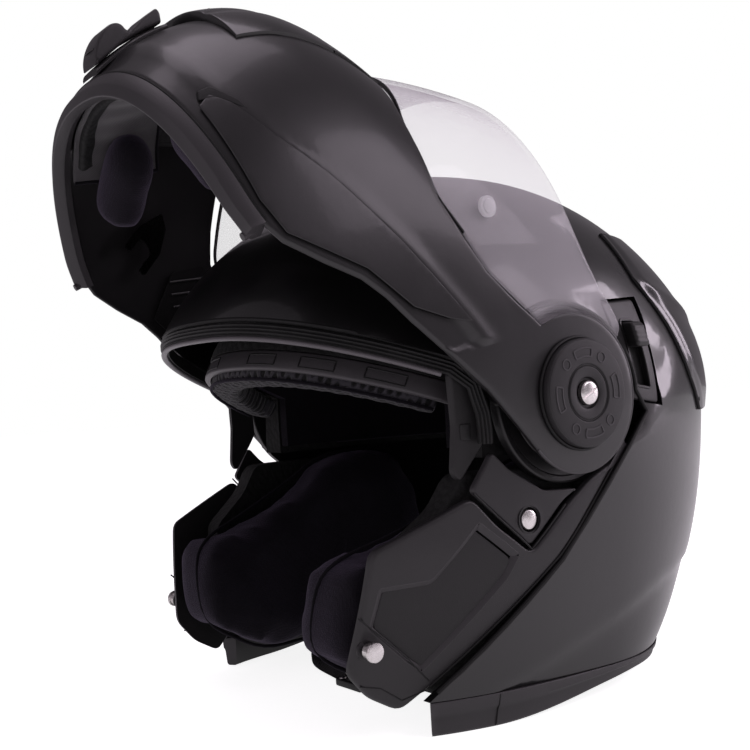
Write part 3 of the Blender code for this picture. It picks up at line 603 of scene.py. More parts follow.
def knit(name, level, tint, cell=1150.0, depth=0.00022, sheen=0.55):
    """Brushed knit: small stitches, painted darker down between them as painted shade, a nap and soft fading
    over the folds.
    """
    shader = Shader(name)
    stitch = shader.voronoi(cell, 0.45)
    nap = shader.noise(5200.0, 4.0, 0.7)
    wear = shader.noise(26.0, 4.0, 0.6)
    # painted shade: stitches lighter on their raised middles, darker down between them
    colour = shader.mix(shader.span(stitch, 0.0, 0.6, 0.0, 1.0), grey(level * 1.5, tint), grey(level * 0.55,
        tint))
    wear_and_highlight = shader.mix(shader.span(wear, 0.35, 0.75, 0.0, 1.0), colour, grey(level * 1.7, tint))
    shader.set(Base_Color=wear_and_highlight, Roughness=shader.span(nap, 0.2, 0.8, 0.85, 1.0))
    shader.set(Sheen_Weight=sheen, Sheen_Roughness=0.45, Sheen_Tint=(*grey(0.55, tint), 1),
        Specular_IOR_Level=0.15)
    shader.bump(shader.math("SUBTRACT", 1.0, stitch), depth)
    shader.bump(nap, 0.0001)
    return shader.material


def mesh_fabric(name, pitch=0.0042):
    """Black spacer mesh with round holes in staggered rows; the holes are painted near-black as painted
    shade.
    """
    shader = Shader(name)
    x, y, z = shader.split()
    lean = shader.math("SUBTRACT", y, shader.math("MULTIPLY", z, 0.6))
    near = None
    for offset in (0.0, 0.5):
        across = shader.math("ADD", shader.math("DIVIDE", x, pitch), offset)
        along = shader.math("ADD", shader.math("DIVIDE", lean, pitch * 1.5), offset)
        across = shader.math("SUBTRACT", shader.math("FRACT", across), 0.5)
        along = shader.math("MULTIPLY", shader.math("SUBTRACT", shader.math("FRACT", along), 0.5), 1.5)
        square = shader.math("ADD", shader.math("MULTIPLY", across, across), shader.math("MULTIPLY", along,
            along))
        distance = shader.math("SQRT", square)
        near = distance if near is None else shader.math("MINIMUM", near, distance)
    hole = shader.span(near, 0.24, 0.38, 1.0, 0.0)
    thread = shader.noise(4200.0, 3.0)
    # painted shade: the holes are coloured near-black
    colour = shader.mix(hole, grey(0.03, (1.0, 0.94, 1.12)), grey(0.001))
    shader.set(Base_Color=colour, Roughness=0.8, Sheen_Weight=0.12, Sheen_Roughness=0.4,
        Specular_IOR_Level=0.25)
    shader.bump(hole, -0.0009)
    shader.bump(thread, 0.00008)
    return shader.material


def woven(name, level, pitch, tint, sheen=0.35, depth=0.0001, gloss=0.2):
    """Diagonal twill: two crossing families of threads, one on top, painted lighter on the raised threads
    and darker in the dips: painted light and shade.
    """
    shader = Shader(name)
    x, y, z = shader.split()
    first = shader.math("ADD", x, shader.math("MULTIPLY", shader.math("ADD", y, z), 0.8))
    second = shader.math("SUBTRACT", x, shader.math("MULTIPLY", shader.math("SUBTRACT", y, z), 0.8))
    ribs = shader.math("SINE", shader.math("MULTIPLY", first, 2 * math.pi / pitch))
    cross = shader.math("SINE", shader.math("MULTIPLY", second, 2 * math.pi / (pitch * 0.72)))
    height = shader.math("ADD", shader.math("MULTIPLY", ribs, 0.6), shader.math("MULTIPLY", cross, 0.4))
    fuzz = shader.noise(3800.0, 4.0, 0.7)
    wear = shader.noise(32.0, 4.0, 0.6)
    # painted light and shade: raised threads lighter, the dips between them darker, following the bump's
    # height
    colour = shader.mix(shader.span(height, -1.0, 1.0, 0.0, 1.0), grey(level * 0.6, tint), grey(level * 1.3,
        tint))
    colour = shader.mix(shader.span(wear, 0.4, 0.8, 0.0, 0.6), colour, grey(level * 1.6, tint))
    shader.set(Base_Color=colour, Roughness=shader.span(fuzz, 0.2, 0.8, 0.75, 0.95),
        Specular_IOR_Level=gloss)
    shader.set(Sheen_Weight=sheen, Sheen_Roughness=0.5)
    shader.bump(height, depth)
    shader.bump(fuzz, 0.00006)
    return shader.material


def steel(name, level=0.78):
    shader = Shader(name)
    x, y, z = shader.split()
    stretched = shader.node("CombineXYZ", X=shader.math("MULTIPLY", x, 0.1), Y=y, Z=shader.math("MULTIPLY",
        z, 6.0))
    lines = shader.noise(900.0, 4.0, 0.6, stretched.outputs[0])
    spots = shader.noise(260.0, 5.0, 0.7)
    colour = shader.mix(shader.span(spots, 0.5, 0.75, 0.0, 1.0), (level, 0.97 * level, 0.95 * level),
                        (0.7 * level, 0.67 * level, 0.64 * level))
    shader.set(Base_Color=colour, Metallic=1.0, Roughness=shader.span(lines, 0.3, 0.7, 0.2, 0.38))
    shader.bump(lines, 0.00002)
    return shader.material


def clear(name, level, body_alpha, edge_alpha, rough):
    """Hard clear plastic: seen through face on, reflective and denser at a glancing angle; a pale colour
    made denser there is a painted reflection.
    """
    shader = Shader(name)
    facing = shader.node("LayerWeight", Blend=0.5).outputs["Facing"]
    haze = shader.noise(28.0, 4.0, 0.6)
    wipe = shader.noise(700.0, 2.0)
    slope = shader.math("POWER", facing, 2.6)
    # painted reflection, for a pale colour: alpha rises at a glancing angle
    alpha = shader.math("ADD", shader.span(slope, 0.0, 1.0, body_alpha, edge_alpha), shader.span(haze, 0.4,
        0.8, 0.0, 0.02))
    shader.set(Base_Color=(*level, 1), Alpha=alpha, Roughness=shader.span(haze, 0.3, 0.7, rough,
        rough + 0.03))
    shader.bump(wipe, 0.000004)
    return shader.material


def foam(name):
    """Expanded polystyrene: fused beads, painted darker where they meet: painted shade."""
    shader = Shader(name)
    beads = shader.voronoi(330.0, 0.9)
    pits = shader.noise(2400.0, 3.0)
    # painted shade: darker where the beads meet, lighter on their raised middles
    colour = shader.mix(shader.span(beads, 0.1, 0.6, 0.0, 1.0), grey(0.006), grey(0.002))
    shader.set(Base_Color=colour, Roughness=shader.span(pits, 0.3, 0.7, 0.7, 0.9))
    shader.bump(shader.math("SUBTRACT", 1.0, beads), 0.0005)
    shader.bump(pits, 0.00006)
    return shader.material


VIOLET = (1.0, 0.84, 1.22)
PAINT = lacquer("shell_paint", 0.0025, 0.3, 0.03, 0.5)
CHIN_PAINT = lacquer("chin_paint", 0.0095, 0.34, 0.1, 0.2)
VENT_PAINT = lacquer("vent_paint", 0.003, 0.25, 0.06, 0.3)
SATIN = satin("satin_plastic", 0.016, 0.42)
TRIM = satin("trim_plastic", 0.02, 0.45)
INSERT = satin("insert_plastic", 0.008, 0.55)
DISC = satin("disc_plastic", 0.008, 0.5)
GREY = satin("grey_plastic", 0.03, 0.45)
LIP = satin("lip_plastic", 0.06, 0.35)
BLACK = satin("black_plastic", 0.003, 0.4)
RUBBER = rubber("seal_rubber", 0.01)
SEAM = rubber("seam_black", 0.0012)
KNIT = knit("cheek_knit", 0.0055, VIOLET, sheen=0.26)
PIPING = knit("piping_knit", 0.003, VIOLET, 1700.0, 0.0001, 0.12)
LINING = knit("lining_knit", 0.0025, VIOLET, 1300.0, 0.00015, 0.1)
MESH = mesh_fabric("pad_mesh", 0.005)
CURTAIN = woven("curtain_twill", 0.042, 0.0011, WARM)
WEB = woven("strap_web", 0.006, 0.0016, (1.0, 1.0, 1.05), 0.15)
STEEL = steel("plated_steel")
CLEAR = clear("visor_clear", (0.92, 0.88, 0.93), 0.16, 0.6, 0.03)
SMOKE = clear("visor_smoke", (0.006, 0.006, 0.008), 0.78, 0.97, 0.03)
FOAM = foam("bead_foam")


# ---- fixed shell ----------------------------------------------------------------------------------
SLIDER_RECESS = [(18, 186), (33, 184), (56, 174), (79, 160), (75, 151), (56, 137), (43.5, 124), (28, 118),
    (10, 150)]
LOW_CREASE = [(190, 66), (110, 58), (60, 50), (33, 41), (1, 31), (-32, 20), (-80, 6)]


def shell_relief(x, y, z):
    """How far the painted surface sinks: a recess round the slide and a facet along the lower edge."""
    sink = 0.0
    if x > 0 and 0 < y < 95 and 110 < z < 195:
        sink += 1.3 * smooth(inside_depth(SLIDER_RECESS, y, z) / 3.0 + 0.5)
    if z < 70:
        gap = eased(LOW_CREASE, y) - z
        sink += 1.5 * smooth(gap / 4.0) - 1.1 * smooth((gap - 4) / 26.0)
    return sink


def dome_points(inset, low_z, around, levels, relief=None):
    heights = [low_z + (SHELL_CENTRE[1] - low_z) * index / levels for index in range(levels)]
    top = SHELL_CROWN - inset
    heights += [SHELL_CENTRE[1] + top * math.sin(math.radians(90 * i / levels)) for i in range(levels)]
    rows = []
    for z in heights:
        row = []
        for step in range(around):
            angle = 2 * math.pi * step / around
            x, y = ring_point(shell_section(z, inset), angle, FRONT_POWER, REAR_POWER)
            if relief:
                x, y = ring_point(shell_section(z, inset + relief(x, y, z)), angle, FRONT_POWER, REAR_POWER)
            row.append((x, y, z))
        rows.append(row)
    return rows, (0, SHELL_CENTRE[0], SHELL_CENTRE[1] + top)


def dome(outer, inner, low_z, around=150, levels=30, relief=None):
    bm = bmesh.new()
    rims = []
    for inset, shape in ((outer, relief), (inner, None)):
        rows, pole = dome_points(inset, low_z, around, levels, shape)
        verts = [[bm.verts.new(point) for point in row] for row in rows]
        tip = bm.verts.new(pole)
        for low, high in zip(verts, verts[1:]):
            for step in range(around):
                after = (step + 1) % around
                bm.faces.new([low[step], low[after], high[after], high[step]])
        for step in range(around):
            bm.faces.new([verts[-1][step], verts[-1][(step + 1) % around], tip])
        rims.append(verts[0])
    for step in range(around):
        after = (step + 1) % around
        bm.faces.new([rims[0][after], rims[0][step], rims[1][step], rims[1][after]])
    return bm


def front_outline():
    """Side view of what is open ahead of the shell: eye port, hinge pocket and jaw."""
    far = -260.0
    low, mid, top = EDGE_LINE[2], EDGE_LINE[1], EDGE_LINE[0]
    slope = (top[1] - low[1]) / (top[0] - low[0])
    foot = (low[0] - 60, low[1] - 60 * slope)
    outline = [(far, brow_z(far)), (-60, brow_z(-60)), (TEMPLE[0] + 6, 140)]
    outline += arc((0, HINGE_Z), 42, 165, 0, 40)
    return outline + [top, mid, low, foot, (far, foot[1])]


def make_shell():
    slider = [(37, 138), (63, 134), (58, 188), (30, 186)]
    bm = carve(dome(0, SHELL_WALL, TRIM_TOP + 0.4, 170, 34, shell_relief),
               prism(front_outline(), -200, 200), prism(slider, 60, 160))
    link("shell", bm, PAINT, "helmet", ("shell",), sharp=32)
    side = [(-60, brow_z(-60)), (-52, brow_z(-60) - 9), (-43.5, 144)]
    side += arc((0, HINGE_Z), 42.2, 165, 0, 40) + [(50, 132)]
    low, mid, top = EDGE_LINE[2], EDGE_LINE[1], EDGE_LINE[0]
    side += [(top[0] - 15 * i, top[1] - 15.75 * i) for i in (1, 2, 3)] + [mid]
    side += [(mid[0] - 61 * i / 6, mid[1] - 50 * i / 6) for i in range(1, 7)]
    front = []
    for step in range(0, 31):
        angle = math.radians(1.5 * step)
        z = 172.0
        for _ in range(6):
            x, y = ring_point(shell_section(z, 1.1), angle, FRONT_POWER, REAR_POWER)
            z = brow_z(y) + 0.5
        if y < -60:
            front.append((x, y, z))
    left = front + [(shell_x(y, z, 1.1), y, z) for y, z in side]
    route = [(-x, y, z) for x, y, z in reversed(left[1:])] + left
    ups = [(x, y - SHELL_CENTRE[0], 0) for x, y, z in route]
    link("shell_edge_bead", tube(route, (1.3, 1.3), 10, ups), SEAM, "helmet", ("shell",))


def trim_foot(y):
    """Height of the edge trim's lower side: an arch between the front feet and the rear foot."""
    rise = smooth((y - ARCH_FROM[0]) / (ARCH_FROM[1] - ARCH_FROM[0]))
    fall = smooth((y - ARCH_TO[0]) / (ARCH_TO[1] - ARCH_TO[0]))
    return ARCH_RISE * (rise - fall)


def make_base_trim():
    """Edge trim that the helmet stands on, with a facet, a rolled foot and a joint at each side."""
    start, end = math.radians(57), math.radians(303)
    profile = [(0.0, 1.0), (-0.2, 0.97), (0.2, 0.66), (0.9, 0.58), (1.2, 0.52), (1.9, 0.08), (2.5, 0.02),
        (3.2, 0.0),
               (6.4, 0.0), (7.2, 0.02), (7.5, 0.08), (7.5, 0.95), (7.2, 1.0), (3.6, 1.0)]
    loops, dark = [], []
    for step in range(261):
        angle = start + (end - start) * step / 260
        loop = []
        for inset, share in profile:
            x, y = ring_point(shell_section(TRIM_TOP, inset), angle, FRONT_POWER, REAR_POWER)
            foot = trim_foot(y)
            loop.append((x, y, foot + (TRIM_TOP - foot) * share))
        loops.append(loop)
        inner = start + 0.01 + (end - start - 0.02) * step / 260
        dark.append([(*ring_point(shell_section(TRIM_TOP, inset), inner, FRONT_POWER, REAR_POWER), z)
                     for inset, z in ((1.9, 14.9), (1.9, 15.7), (4.0, 15.7), (4.0, 14.9))])
    link("base_trim", loft(loops), TRIM, "helmet", ("base_trim",), sharp=28)
    link("base_trim_gap", loft(dark), SEAM, "helmet", ("base_trim",))
    for y in (-43, 62, 118):
        for side in (1, -1):
            line = []
            for inset, share in ((-0.1, 0.97), (0.3, 0.66), (1.1, 0.53), (1.8, 0.12), (2.6, 0.04)):
                x = side_x(shell_section(TRIM_TOP, inset), y, FRONT_POWER, REAR_POWER)
                line.append((side * x, y - 2 * (1 - share),
                    trim_foot(y) + (TRIM_TOP - trim_foot(y)) * share))
            name = f"base_trim_joint_{'l' if side > 0 else 'r'}_{abs(y)}"
            link(name, tube(line, (0.28, 0.28), 8), SEAM, "helmet", ("base_trim",))


SPOILER_SIDE = [(129, 111), (147, 97), (174, 81), (197, 64), (224, 62)]


def spoiler_side(z):
    """Where the spoiler's side edge runs, as y at height z."""
    for (z0, y0), (z1, y1) in zip(SPOILER_SIDE, SPOILER_SIDE[1:]):
        if z <= z1:
            return y0 + (y1 - y0) * (z - z0) / (z1 - z0)
    return SPOILER_SIDE[-1][1]


def spoiler_point(share, t, inset):
    """share runs from -1 to 1 round the rear and t from the lower edge to the upper one."""
    z = 130 + 92 * t
    section = shell_section(z, inset)
    reach = max(0.0, (spoiler_side(z) - SHELL_CENTRE[0]) / section[2])
    spread = math.acos(min(1.0, reach) ** (REAR_POWER / 2))
    x, y = ring_point(section, math.pi + spread * share, FRONT_POWER, REAR_POWER)
    return (x, y, z)


def make_spoiler():
    """Exhaust spoiler across the upper rear, with a raised ridge, two slots drawn as black bars (painted
    shade) and a dark joint round it.
    """
    loops = []
    for step in range(-70, 71):
        share = step / 70

        def point(t, inset, outside):
            swell = 1.9 + 1.6 * math.sin(math.pi * (1 - t) ** 1.5)
            ridge = 1.2 * math.exp(-((t - 0.45 - 0.25 * share * share) / 0.05) ** 2)
            fade = smooth((1 - abs(share)) / 0.06)
            return spoiler_point(share, t,
                inset - (swell + ridge) * (0.45 + 0.55 * fade) if outside else -1.2)

        loops.append(strip_loop(point, 95, 0.0, 1.0, 44, 0.8))
    link("rear_spoiler", loft(loops), PAINT, "helmet", ("rear_spoiler",), sharp=40)
    border = [spoiler_point(-1, t / 30, -0.6) for t in range(31)]
    border += [spoiler_point(-1 + s / 40, 1, -0.6) for s in range(1, 81)]
    border += [spoiler_point(1, 1 - t / 30, -0.6) for t in range(1, 31)]
    border += [spoiler_point(1 - s / 40, 0, -0.6) for s in range(1, 80)]
    circle = [(0.7 * math.cos(math.pi * k / 4), 0.9 * math.sin(math.pi * k / 4)) for k in range(8)]
    bead = sweep(border, circle, [(x, y - 20, 0) for x, y, z in border], True)
    link("spoiler_joint", bead, SEAM, "helmet", ("rear_spoiler",))
    # painted shade: each slot is a black bar laid on the spoiler where the opening is
    for side, letter in ((1, "l"), (-1, "r")):
        slot = [spoiler_point(side * (0.12 + 0.028 * step), 0.3 + 0.006 * step, -4.2) for step in range(15)]
        ups = [(x, y - 20, 0) for x, y, z in slot]
        bar = tube(slot, [(2.4 * math.sin(math.pi * (i + 0.7) / 15.4) + 0.6, 0.6) for i in range(15)], 12,
            ups)
        link("spoiler_slot_" + letter, bar, SEAM, "helmet", ("rear_spoiler",))


# ---- jaw ------------------------------------------------------------------------------------------
JAW = [
    (-108, 32), (-101, 83), (-56, 101.5), (-44, 88), (-27, 74.5), (-6, 93), (10, 104), (25, 110),
    (36, 120), (-11.6, 70.6), (-72.6, 20.6), (-84, 12), (-98, 20),
]
PANEL = [(-100, 69), (-76, 70), (-52, 94), (-30, 76), (-36, 66), (-77, 26), (-85, 32), (-104, 50)]
PANEL_MIDDLE = (-74, 56)


def panel(scale):
    y0, z0 = PANEL_MIDDLE
    return [(y0 + scale * (y - y0), z0 + scale * (z - z0)) for y, z in PANEL]


def make_jaw():
    catch_outline = [(-55, 104), (-27, 77.5), (-7, 95.5), (2, 100), (-18, 101), (-36, 112), (-44, 120)]
    for side, letter in ((1, "l"), (-1, "r")):
        hole = loft([[(side * x, y, z) for y, z in rounded(panel(0.92), 2)] for x in (60, 160)])
        plate = carve(draped(JAW, jaw_x, 0, 3.2, side, 3.4, 1.6, 4.0), hole)
        link("side_plate_" + letter, plate, SATIN, "helmet", ("side_plate_" + letter,),
            sharp=38)
        band = ring_band(panel(0.93), jaw_x, [(0, 0.1), (0.25, -0.05), (0.6, 0.1), (2.6, 1.55), (3.0, 1.9),
            (0.6, 3.0), (0, 3.0)], side)
        link("side_plate_bevel_" + letter, band, TRIM, "helmet", ("side_plate_" + letter,
            ), sharp=25)
        insert = draped(panel(0.84), jaw_x, 1.35, 3.2, side, 3.4, 0.5, 2.5)
        link("side_panel_" + letter, insert, INSERT, "helmet", ("side_panel_" + letter,))
        drill = turned([(-200, 0), (-200, 6.2), (200, 6.2), (200, 0)], (0, *CATCH), 48)
        catch = carve(draped(catch_outline, jaw_x, 1.0, 4.0, side, 3.4, 0.9, 2.5), drill)
        link("catch_plate_" + letter, catch, SATIN, "helmet", ("catch_plate_" + letter,),
            sharp=38)
        foot = jaw_x(*CATCH) - 4.0
        cup = turned([(foot - 0.4, 0), (foot - 0.4, 6.1), (foot + 2.4, 6.1), (foot + 2.9, 6.3), (foot + 2.9,
            5.5),
                      (foot + 0.2, 4.9), (foot + 0.2, 0)], (0, *CATCH), 48, side)
        link("catch_cup_" + letter, cup, BLACK, "helmet", ("catch_plate_" + letter,))
        screw = turned([(foot, 0), (foot, 4.6), (foot + 2.2, 4.6), (foot + 2.9, 4.2), (foot + 3.2, 3.4),
            (foot + 3.25, 0)],
                       (0, *CATCH), 48, side)
        link("catch_screw_" + letter, screw, STEEL, "helmet", ("catch_screw_" + letter,))
        make_latch_pin(side, letter)
        make_temple(side, letter)
        make_jaw_lines(side, letter)


def make_latch_pin(side, letter):
    y, z = LATCH_PIN
    foot = jaw_x(y, z) + 1.8
    profile = [(0, 0), (0, 3.0), (0.4, 3.4), (3.1, 3.4), (3.4, 3.1), (3.4, 2.5), (3.9, 2.5), (4.0, 3.9),
        (4.3, 4.3),
               (5.1, 4.3), (5.6, 4.0), (5.8, 3.4), (5.85, 0)]
    pin = turned([(foot + x, r) for x, r in profile], (0, y, z), 48, side)
    link("latch_pin_" + letter, pin, STEEL, "helmet", ("latch_pin_" + letter,))
    base = [(foot - 2.6, 0), (foot - 2.6, 4.4), (foot - 1.7, 4.4), (foot - 1.5, 4.1), (foot - 1.4, 0)]
    washer = turned(base, (0, y, z), 48, side)
    link("latch_pin_seat_" + letter, washer, DISC, "helmet", ("side_plate_" + letter,))


def make_temple(side, letter):
    outline = [(-46, 122), (-42, 128), (-43, 146), (-50, 158), (-59, 156), (-58, 132), (-60, 112), (-57,
        108)]
    trim = draped(outline, jaw_x, 5.6, 9.0, side, 3.0, 0.9, 2.5)
    link("temple_trim_" + letter, trim, INSERT, "helmet", ("temple_trim_" + letter,))
    clip = draped([(-56, 126), (-51, 126), (-51, 133), (-56, 133)], jaw_x, 5.1, 6.0, side, 3.0, 0.3, 0.8)
    link("temple_clip_" + letter, clip, BLACK, "helmet", ("temple_trim_" + letter,))


def make_jaw_lines(side, letter):
    """Dark joints between the plates: under the catch plate, across the chin end and up the edge."""
    lines = {
        "catch": ([(-55, 103), (-44, 92), (-27, 76.2), (-7, 93.8)], 0.45, 0.2),
        "front": ([(-106, 56), (-96, 47), (-84, 36), (-73, 24)], 0.4, 0.0),
        "foot": ([(-103, 26), (-94, 24), (-84, 17), (-74, 20)], 0.35, 0.0),
        "edge": ([(31, 114), (-10, 71.6), (-72, 21.2)], 0.7, 0.5),
    }
    for name, (points, radius, inset) in lines.items():
        route = []
        for (y0, z0), (y1, z1) in zip(points, points[1:]):
            route += [(y0 + (y1 - y0) * i / 10, z0 + (z1 - z0) * i / 10) for i in range(10)]
        route.append(points[-1])
        line = [(side * jaw_x(y, z, inset), y, z) for y, z in route]
        ups = [(side, 0, 0)] * len(line)
        bar = tube(line, (radius, radius * 0.8), 8, ups)
        link(f"jaw_line_{name}_{letter}", bar, SEAM, "helmet", ("side_plate_" + letter,))


def make_hinge_bases():
    def base():
        profile = [(105.0, 0), (105.0, 40.0), (105.4, 40.5), (109.0, 40.5), (109.6, 40.2), (110.0, 39.4),
            (109.8, 37.5),
                   (109.2, 36.8), (109.2, 31.0), (109.9, 30.4), (109.9, 20), (109.2, 19.4), (109.2, 0)]
        return turned(profile, (0, 0, HINGE_Z), 96)

    pair("hinge_base", base, BLACK, "helmet", "hinge_base", sharp=25)


# ---- eye port -------------------------------------------------------------------------------------
def port_route(inset, drop, half_angle=64.0, steps=64):
    route = []
    for step in range(-steps, steps + 1):
        angle = math.radians(half_angle * step / steps)
        z = 172.0
        for _ in range(6):
            x, y = ring_point(shell_section(z, inset), angle, FRONT_POWER, REAR_POWER)
            z = brow_z(y) - drop
        route.append((x, y, z))
    return route


def make_gasket():
    """Seal of the eye port: a ribbed band and a rounded lip below it, running down to the temples."""
    temple = [(-51.5, 150), (-50, 144), (-48, 137), (-47.5, 130), (-47.5, 124)]
    route = port_route(2.4, 4.4)
    side = [(shell_x(y, z, 2.8), y, z) for y, z in temple]
    route = [(-x, y, z) for x, y, z in reversed(side)] + route + side
    ups = [(x, y - SHELL_CENTRE[0], 0) for x, y, z in route]
    ribs = []
    for step in range(25):
        across = -3.2 + 6.4 * step / 24
        wave = 0.45 * math.sin(2 * math.pi * (across + 3.2) / 1.6 - 0.5 * math.pi)
        ribs.append((across, 1.6 + wave - 0.1 * across**2))
    profile = [(-3.2, -2.2)] + ribs + [(3.2, -2.2)]
    link("eye_port_gasket", sweep(route, profile, ups), RUBBER, "helmet",
        ("eye_port_gasket",), sharp=60)
    lip = [(x, y - 0.3, z - 3.7) for x, y, z in port_route(2.6, 4.4, 62.0)]
    ups = [(x, y - SHELL_CENTRE[0], -30) for x, y, z in lip]
    bar = tube(lip, (1.25, 1.7), 14, ups)
    link("eye_port_lip", bar, LIP, "helmet", ("eye_port_gasket",))


def sun_point(angle, tilt, offset=0.0):
    """A point of the sun visor's face: a superellipse turned about the sun visor's own hinge axis."""
    x = (SUN_WIDTH + offset) * math.copysign(abs(math.sin(angle)) ** (2 / SUN_POWER), angle)
    reach = max(6.0, (SUN_RADIUS + offset) * abs(math.cos(angle)) ** (2 / SUN_POWER))
    return (x, SUN_AXIS[0] + reach * math.cos(tilt), SUN_AXIS[1] + reach * math.sin(tilt))


def brow_tilt(angle, offset, drop):
    """Where the sun visor's face, moved by offset, passes `drop` below the eye port's edge."""
    low, high = math.radians(95), math.radians(230)
    for _ in range(24):
        middle = (low + high) / 2
        x, y, z = sun_point(angle, middle, offset)
        if z > brow_z(y) - drop:
            low = middle
        else:
            high = middle
    return low


def brow_point(angle, offset, drop):
    return sun_point(angle, brow_tilt(angle, offset, drop), offset)


def make_brow():
    loops = []
    for step in range(-70, 71):
        angle = math.radians(65 * step / 70)
        loop = [brow_point(angle, -5.0 - sink, BROW_DROP + drop) for drop, sink in
                ((0.0, 0.6), (0.3, 0.1), (1.0, 0.0), (4.0, 0.0), (8.6, 0.0), (9.6, 0.15), (10.0, 0.6))]
        loop += [brow_point(angle, -8.0, BROW_DROP + drop) for drop in (10.0, 5.0, 0.0)]
        loops.append(loop)
    link("brow_trim", loft(loops), GREY, "helmet", ("brow_trim",), sharp=50)
    clips = []
    for middle in (-48, -30, -12, 12, 30, 48):
        frame_line = []
        for spread, drop in ((-5, 2.4), (5, 2.4), (5, 7.6), (-5, 7.6)):
            frame_line.append((middle + spread, drop))
        route = []
        for (a0, d0), (a1, d1) in zip(frame_line, frame_line[1:] + frame_line[:1]):
            route += [(a0 + (a1 - a0) * i / 6, d0 + (d1 - d0) * i / 6) for i in range(6)]
        points = [brow_point(math.radians(a), -4.9, BROW_DROP + d) for a, d in route]
        ups = [(x, y - 20, 0) for x, y, z in points]
        clips.append(sweep(points, [(-0.3, -0.3), (0.3, -0.3), (0.35, 0.1), (0, 0.25), (-0.35, 0.1)], ups,
            True))
    link("brow_clips", joined(*clips), SEAM, "helmet", ("brow_trim",))
    loops = []
    for step in range(-80, 81):
        angle = math.radians(61.5 * step / 80)
        taper = math.sqrt(max(0.0, 1 - (abs(step) / 80.5) ** 8))
        quilt = 0.35 * math.sin(math.pi * step / 8) ** 2
        section = []
        for index in range(28):
            turn = 2 * math.pi * index / 28
            across, high = math.cos(turn), math.sin(turn)
            across = math.copysign(abs(across) ** 0.55, across)
            high = math.copysign(abs(high) ** 0.6, high)
            swell = 0.9 + 0.1 * taper
            offset = -16.5 + (7.6 + quilt) * across * swell
            drop = BROW_DROP + 8.0 + (6.2 + quilt) * high * swell
            section.append(brow_point(angle, offset, drop))
        loops.append(section)
    pad = link("brow_pad", loft(loops), MESH, "helmet", ("brow_pad",), sharp=70)
    edge = [brow_point(math.radians(61 * s / 60), -9.4, BROW_DROP + 14.0) for s in range(-60, 61)]
    ups = [(x, y - 20, 0) for x, y, z in edge]
    link("brow_pad_piping", tube(edge, (0.8, 0.8), 10, ups), PIPING, "helmet", ("brow_pad",))


def make_sun_visor():
    rows = []
    for layer_offset in (0.0, -2.0):
        stack = []
        for step in range(-50, 51):
            angle = math.radians(86 * step / 50)
            low, high = 100.0, 147 - 24 * (step / 50) ** 2
            dip = 3.0 * math.exp(-(step / 9) ** 2)
            tilts = [math.radians(low + (high - dip - low) * row / 24) for row in range(25)]
            stack.append([sun_point(angle, tilt, layer_offset) for tilt in tilts])
        rows.append(stack)
    loops = [outer + inner[::-1] for outer, inner in zip(*rows)]
    link("sun_visor", loft(loops), SMOKE, "sun_visor", ("sun_visor",), sharp=60)


# ---- slide of the sun visor, and the helmet's soft lining -------------------------------------------
def make_slider():
    outline = [(38, 139), (61.5, 135), (57, 187), (31, 185)]
    hole = loft([[(x, y, z) for y, z in rounded([(43, 145), (55, 143), (51, 176), (40, 176)],
        2)] for x in (60, 160)])
    body = carve(draped(outline, shell_x, 1.2, 4.8, 1, 3.0, 1.2, 3.0), hole)
    link("slider_frame", body, SATIN, "helmet", ("slider_frame",), sharp=38)
    rim = ring_band([(43, 145), (55, 143), (51, 176), (40, 176)], shell_x,
                    [(-1.0, 1.3), (-0.8, 0.7), (0.2, 0.7), (0.5, 1.2), (0.5, 3.4), (-1.0, 3.4)], 1, 2)
    link("slider_rim", rim, BLACK, "helmet", ("slider_frame",), sharp=30)
    floor = draped([(42, 144), (56, 142), (52, 177), (39, 177)], shell_x, 4.2, 4.7, 1, 4.0, 0.2, 2.0)
    link("slider_floor", floor, SEAM, "helmet", ("slider_frame",))

    def ridges(y, z):
        return -0.45 * (0.5 + 0.5 * math.cos(2 * math.pi * (z - 163) / 2.4)) * smooth((6 - abs(z - 169)) / 2)

    knob = draped([(41.8, 163), (51.8, 163), (50.3, 175), (40.7, 175)], shell_x, -5.0, 5.0, 1, 0.8, 1.6,
        2.0, ridges)
    link("slider_knob", knob, BLACK, "slider_knob", ("slider_knob",), sharp=50)


def make_liners():
    plane = BROW_DROP - 0.4
    edge = [(-260, brow_z(-260) - plane), (-38, brow_z(-38) - plane), (-38, 90), (-260, 90)]
    pocket = sun_pocket()
    liner = carve(dome(13.5, 33, 117, 90, 18), prism(edge, -200, 200), pocket)
    link("crown_liner", liner, FOAM, "helmet", ("crown_liner",), sharp=40)

    comfort = quilted_dome(35.2, 41.5, 121)
    comfort = carve(comfort, prism(edge, -200, 200))
    lining = link("comfort_liner", comfort, LINING, "helmet", ("comfort_liner",), sharp=50)
    cover_edge = []
    for step in range(-60, 61):
        angle = math.radians(180 + 1.6 * step)
        cover_edge.append((*ring_point(shell_section(121, 38.4), angle, FRONT_POWER, REAR_POWER), 121.4))
    ups = [(x, y - 20, 0) for x, y, z in cover_edge]
    link("comfort_piping", tube(cover_edge, (1.3, 1.9), 10, ups), PIPING, "helmet",
        ("comfort_liner",))


def sun_pocket():
    stacks = []
    for offset in (-4.5, 34):
        stack = []
        for step in range(-20, 21):
            angle = math.radians(90 * step / 20)
            tilts = [math.radians(95 + 110 * row / 16) for row in range(17)]
            stack.append([sun_point(angle, tilt, offset) for tilt in tilts])
        stacks.append(stack)
    return loft([outer + inner[::-1] for outer, inner in zip(*stacks)])


